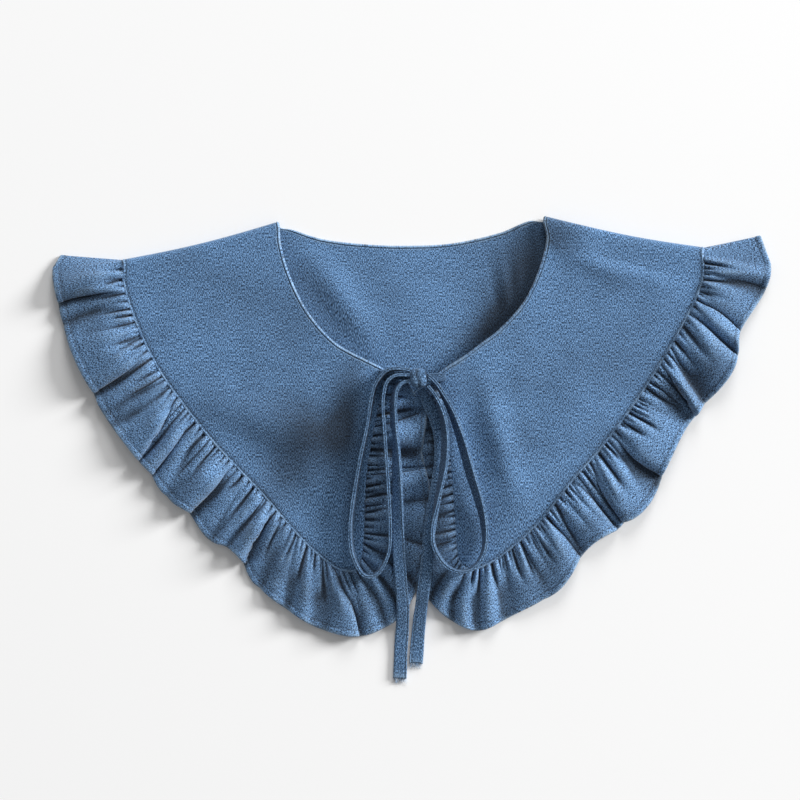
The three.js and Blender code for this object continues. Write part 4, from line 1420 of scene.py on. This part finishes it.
def averaged(grid, reach):
    """The grid averaged along the ruffle over the given number of columns each way."""
    kernel = np.ones(2 * reach + 1) / (2 * reach + 1)
    edged = np.pad(grid, ((reach, reach),) + ((0, 0),) * (grid.ndim - 1), mode="edge")
    return np.apply_along_axis(lambda column: np.convolve(column, kernel, mode="valid"), 0, edged)


ruffle_width = np.linalg.norm(hem_line - start_line, axis=1)[:, None]
from_hem = (1 - share) * ruffle_width
hem_share = smooth_step(-from_hem, -HEM_WIDTH - HEM_SOFTNESS, -HEM_WIDTH + HEM_SOFTNESS)
stitch_pull = np.exp(-(((share - STITCH_SHARE) / STITCH_PULL_WIDTH) ** 2))
ruffle_thickness = RUFFLE_THICKNESS + (HEM_THICKNESS - RUFFLE_THICKNESS) * hem_share
ruffle_thickness = ruffle_thickness - STITCH_PULL * stitch_pull
ruffle_middle = in_frame(points)
ruffle_normals = surface_normals(averaged(ruffle_middle, NORMAL_COLUMNS))
upper = ruffle_middle + ruffle_normals * (ruffle_thickness / 2)[..., None]
lower = ruffle_middle - ruffle_normals * (ruffle_thickness / 2)[..., None]
upper[..., 2] = np.maximum(upper[..., 2], RUFFLE_LOWEST)
lower[..., 2] = np.maximum(lower[..., 2], RUFFLE_LOWEST)
steps = np.linalg.norm(np.diff(points, axis=0), axis=-1)[:, WEAVE_FROM_LINE:].mean(axis=1)
strip_length = np.broadcast_to(np.concatenate([[0], np.cumsum(steps)])[:, None] * MM, fine.shape)
ruffle_uv = np.stack([share * ruffle_width * MM, strip_length], axis=-1)
height = points[..., 2]
# Painted shade: in the dips, along the hem stitches, at the seam and in the listed patches.
dip_shade = sum(darkness * (averaged(height, reach) - height) for reach, darkness in SHADE_IN_DIPS)
ridge = (height - averaged(height, RIDGE_COLUMNS)) / RIDGE_HEIGHT
painted_shade = np.clip(dip_shade, 0, 1) * on_front[:, None] + HEM_STITCH_SHADE * stitch_pull
painted_shade += RUFFLE_SEAM_SHADE * np.exp(-((share / RUFFLE_SEAM_SHADE_WIDTH) ** 2))
painted_shade += swell_height(RUFFLE_SHADE_PATCHES, points[..., 0], points[..., 1])
wear = HEM_WEAR * np.exp(-((from_hem / HEM_WEAR_WIDTH) ** 2))
wear += RIDGE_WEAR * np.clip(ridge, 0, 1) * on_front[:, None]
ruffle = shell(
    "gathered_ruffle", upper, lower, ruffle_uv, {"wear": wear, "painted_shade": np.clip(painted_shade, 0, 1)}, ruffle_denim
)
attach(ruffle, "root")
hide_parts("ruffle")

stitch_line = np.argmin(np.abs(RUFFLE_SHARES - STITCH_SHARE))
hem_stitches = stitching("stitching_of_hem", upper[:, stitch_line], ruffle_normals[:, stitch_line])

# The floor and the light. A white table top, lit from the right by a wide window and from
# beyond it by a reflector, in a bright white room.
FLOOR_SIZE = 40.0
bpy.ops.mesh.primitive_plane_add(size=FLOOR_SIZE, location=(0, 0, 0))
floor = bpy.context.object
floor.name = "table_top"
floor.select_set(False)
floor_white = bpy.data.materials.new("white_table")
floor_white.use_nodes = True
floor_shader = floor_white.node_tree.nodes["Principled BSDF"]
floor_shader.inputs["Base Color"].default_value = (0.9, 0.9, 0.9, 1)
floor_shader.inputs["Roughness"].default_value = 0.9
floor_shader.inputs["Specular IOR Level"].default_value = 0.1
floor.data.materials.append(floor_white)


def lamp(name, azimuth, elevation, distance, size, power):
    """A round soft lamp that points at the collar, from an azimuth counted from the right."""
    data = bpy.data.lights.new(name, "AREA")
    data.shape = "DISK"
    data.size = size
    data.energy = power
    turn, lift = math.radians(azimuth), math.radians(elevation)
    towards = Vector((math.cos(turn) * math.cos(lift), math.sin(turn) * math.cos(lift), math.sin(lift)))
    place = towards * distance
    piece = bpy.data.objects.new(name, data)
    piece.location = place
    piece.rotation_euler = (-place).to_track_quat("-Z", "Y").to_euler()
    bpy.context.collection.objects.link(piece)


lamp("window", azimuth=24, elevation=20, distance=12.0, size=4.6, power=2200)
lamp("reflector", azimuth=80, elevation=28, distance=12.0, size=6.0, power=720)

ROOM_BRIGHTNESS = 0.31
room = bpy.data.worlds.new("white_room")
room.use_nodes = True
room.node_tree.nodes["Background"].inputs["Color"].default_value = (1, 1, 1, 1)
room.node_tree.nodes["Background"].inputs["Strength"].default_value = ROOM_BRIGHTNESS
bpy.context.scene.world = room
bpy.context.scene.view_settings.view_transform = "Standard"
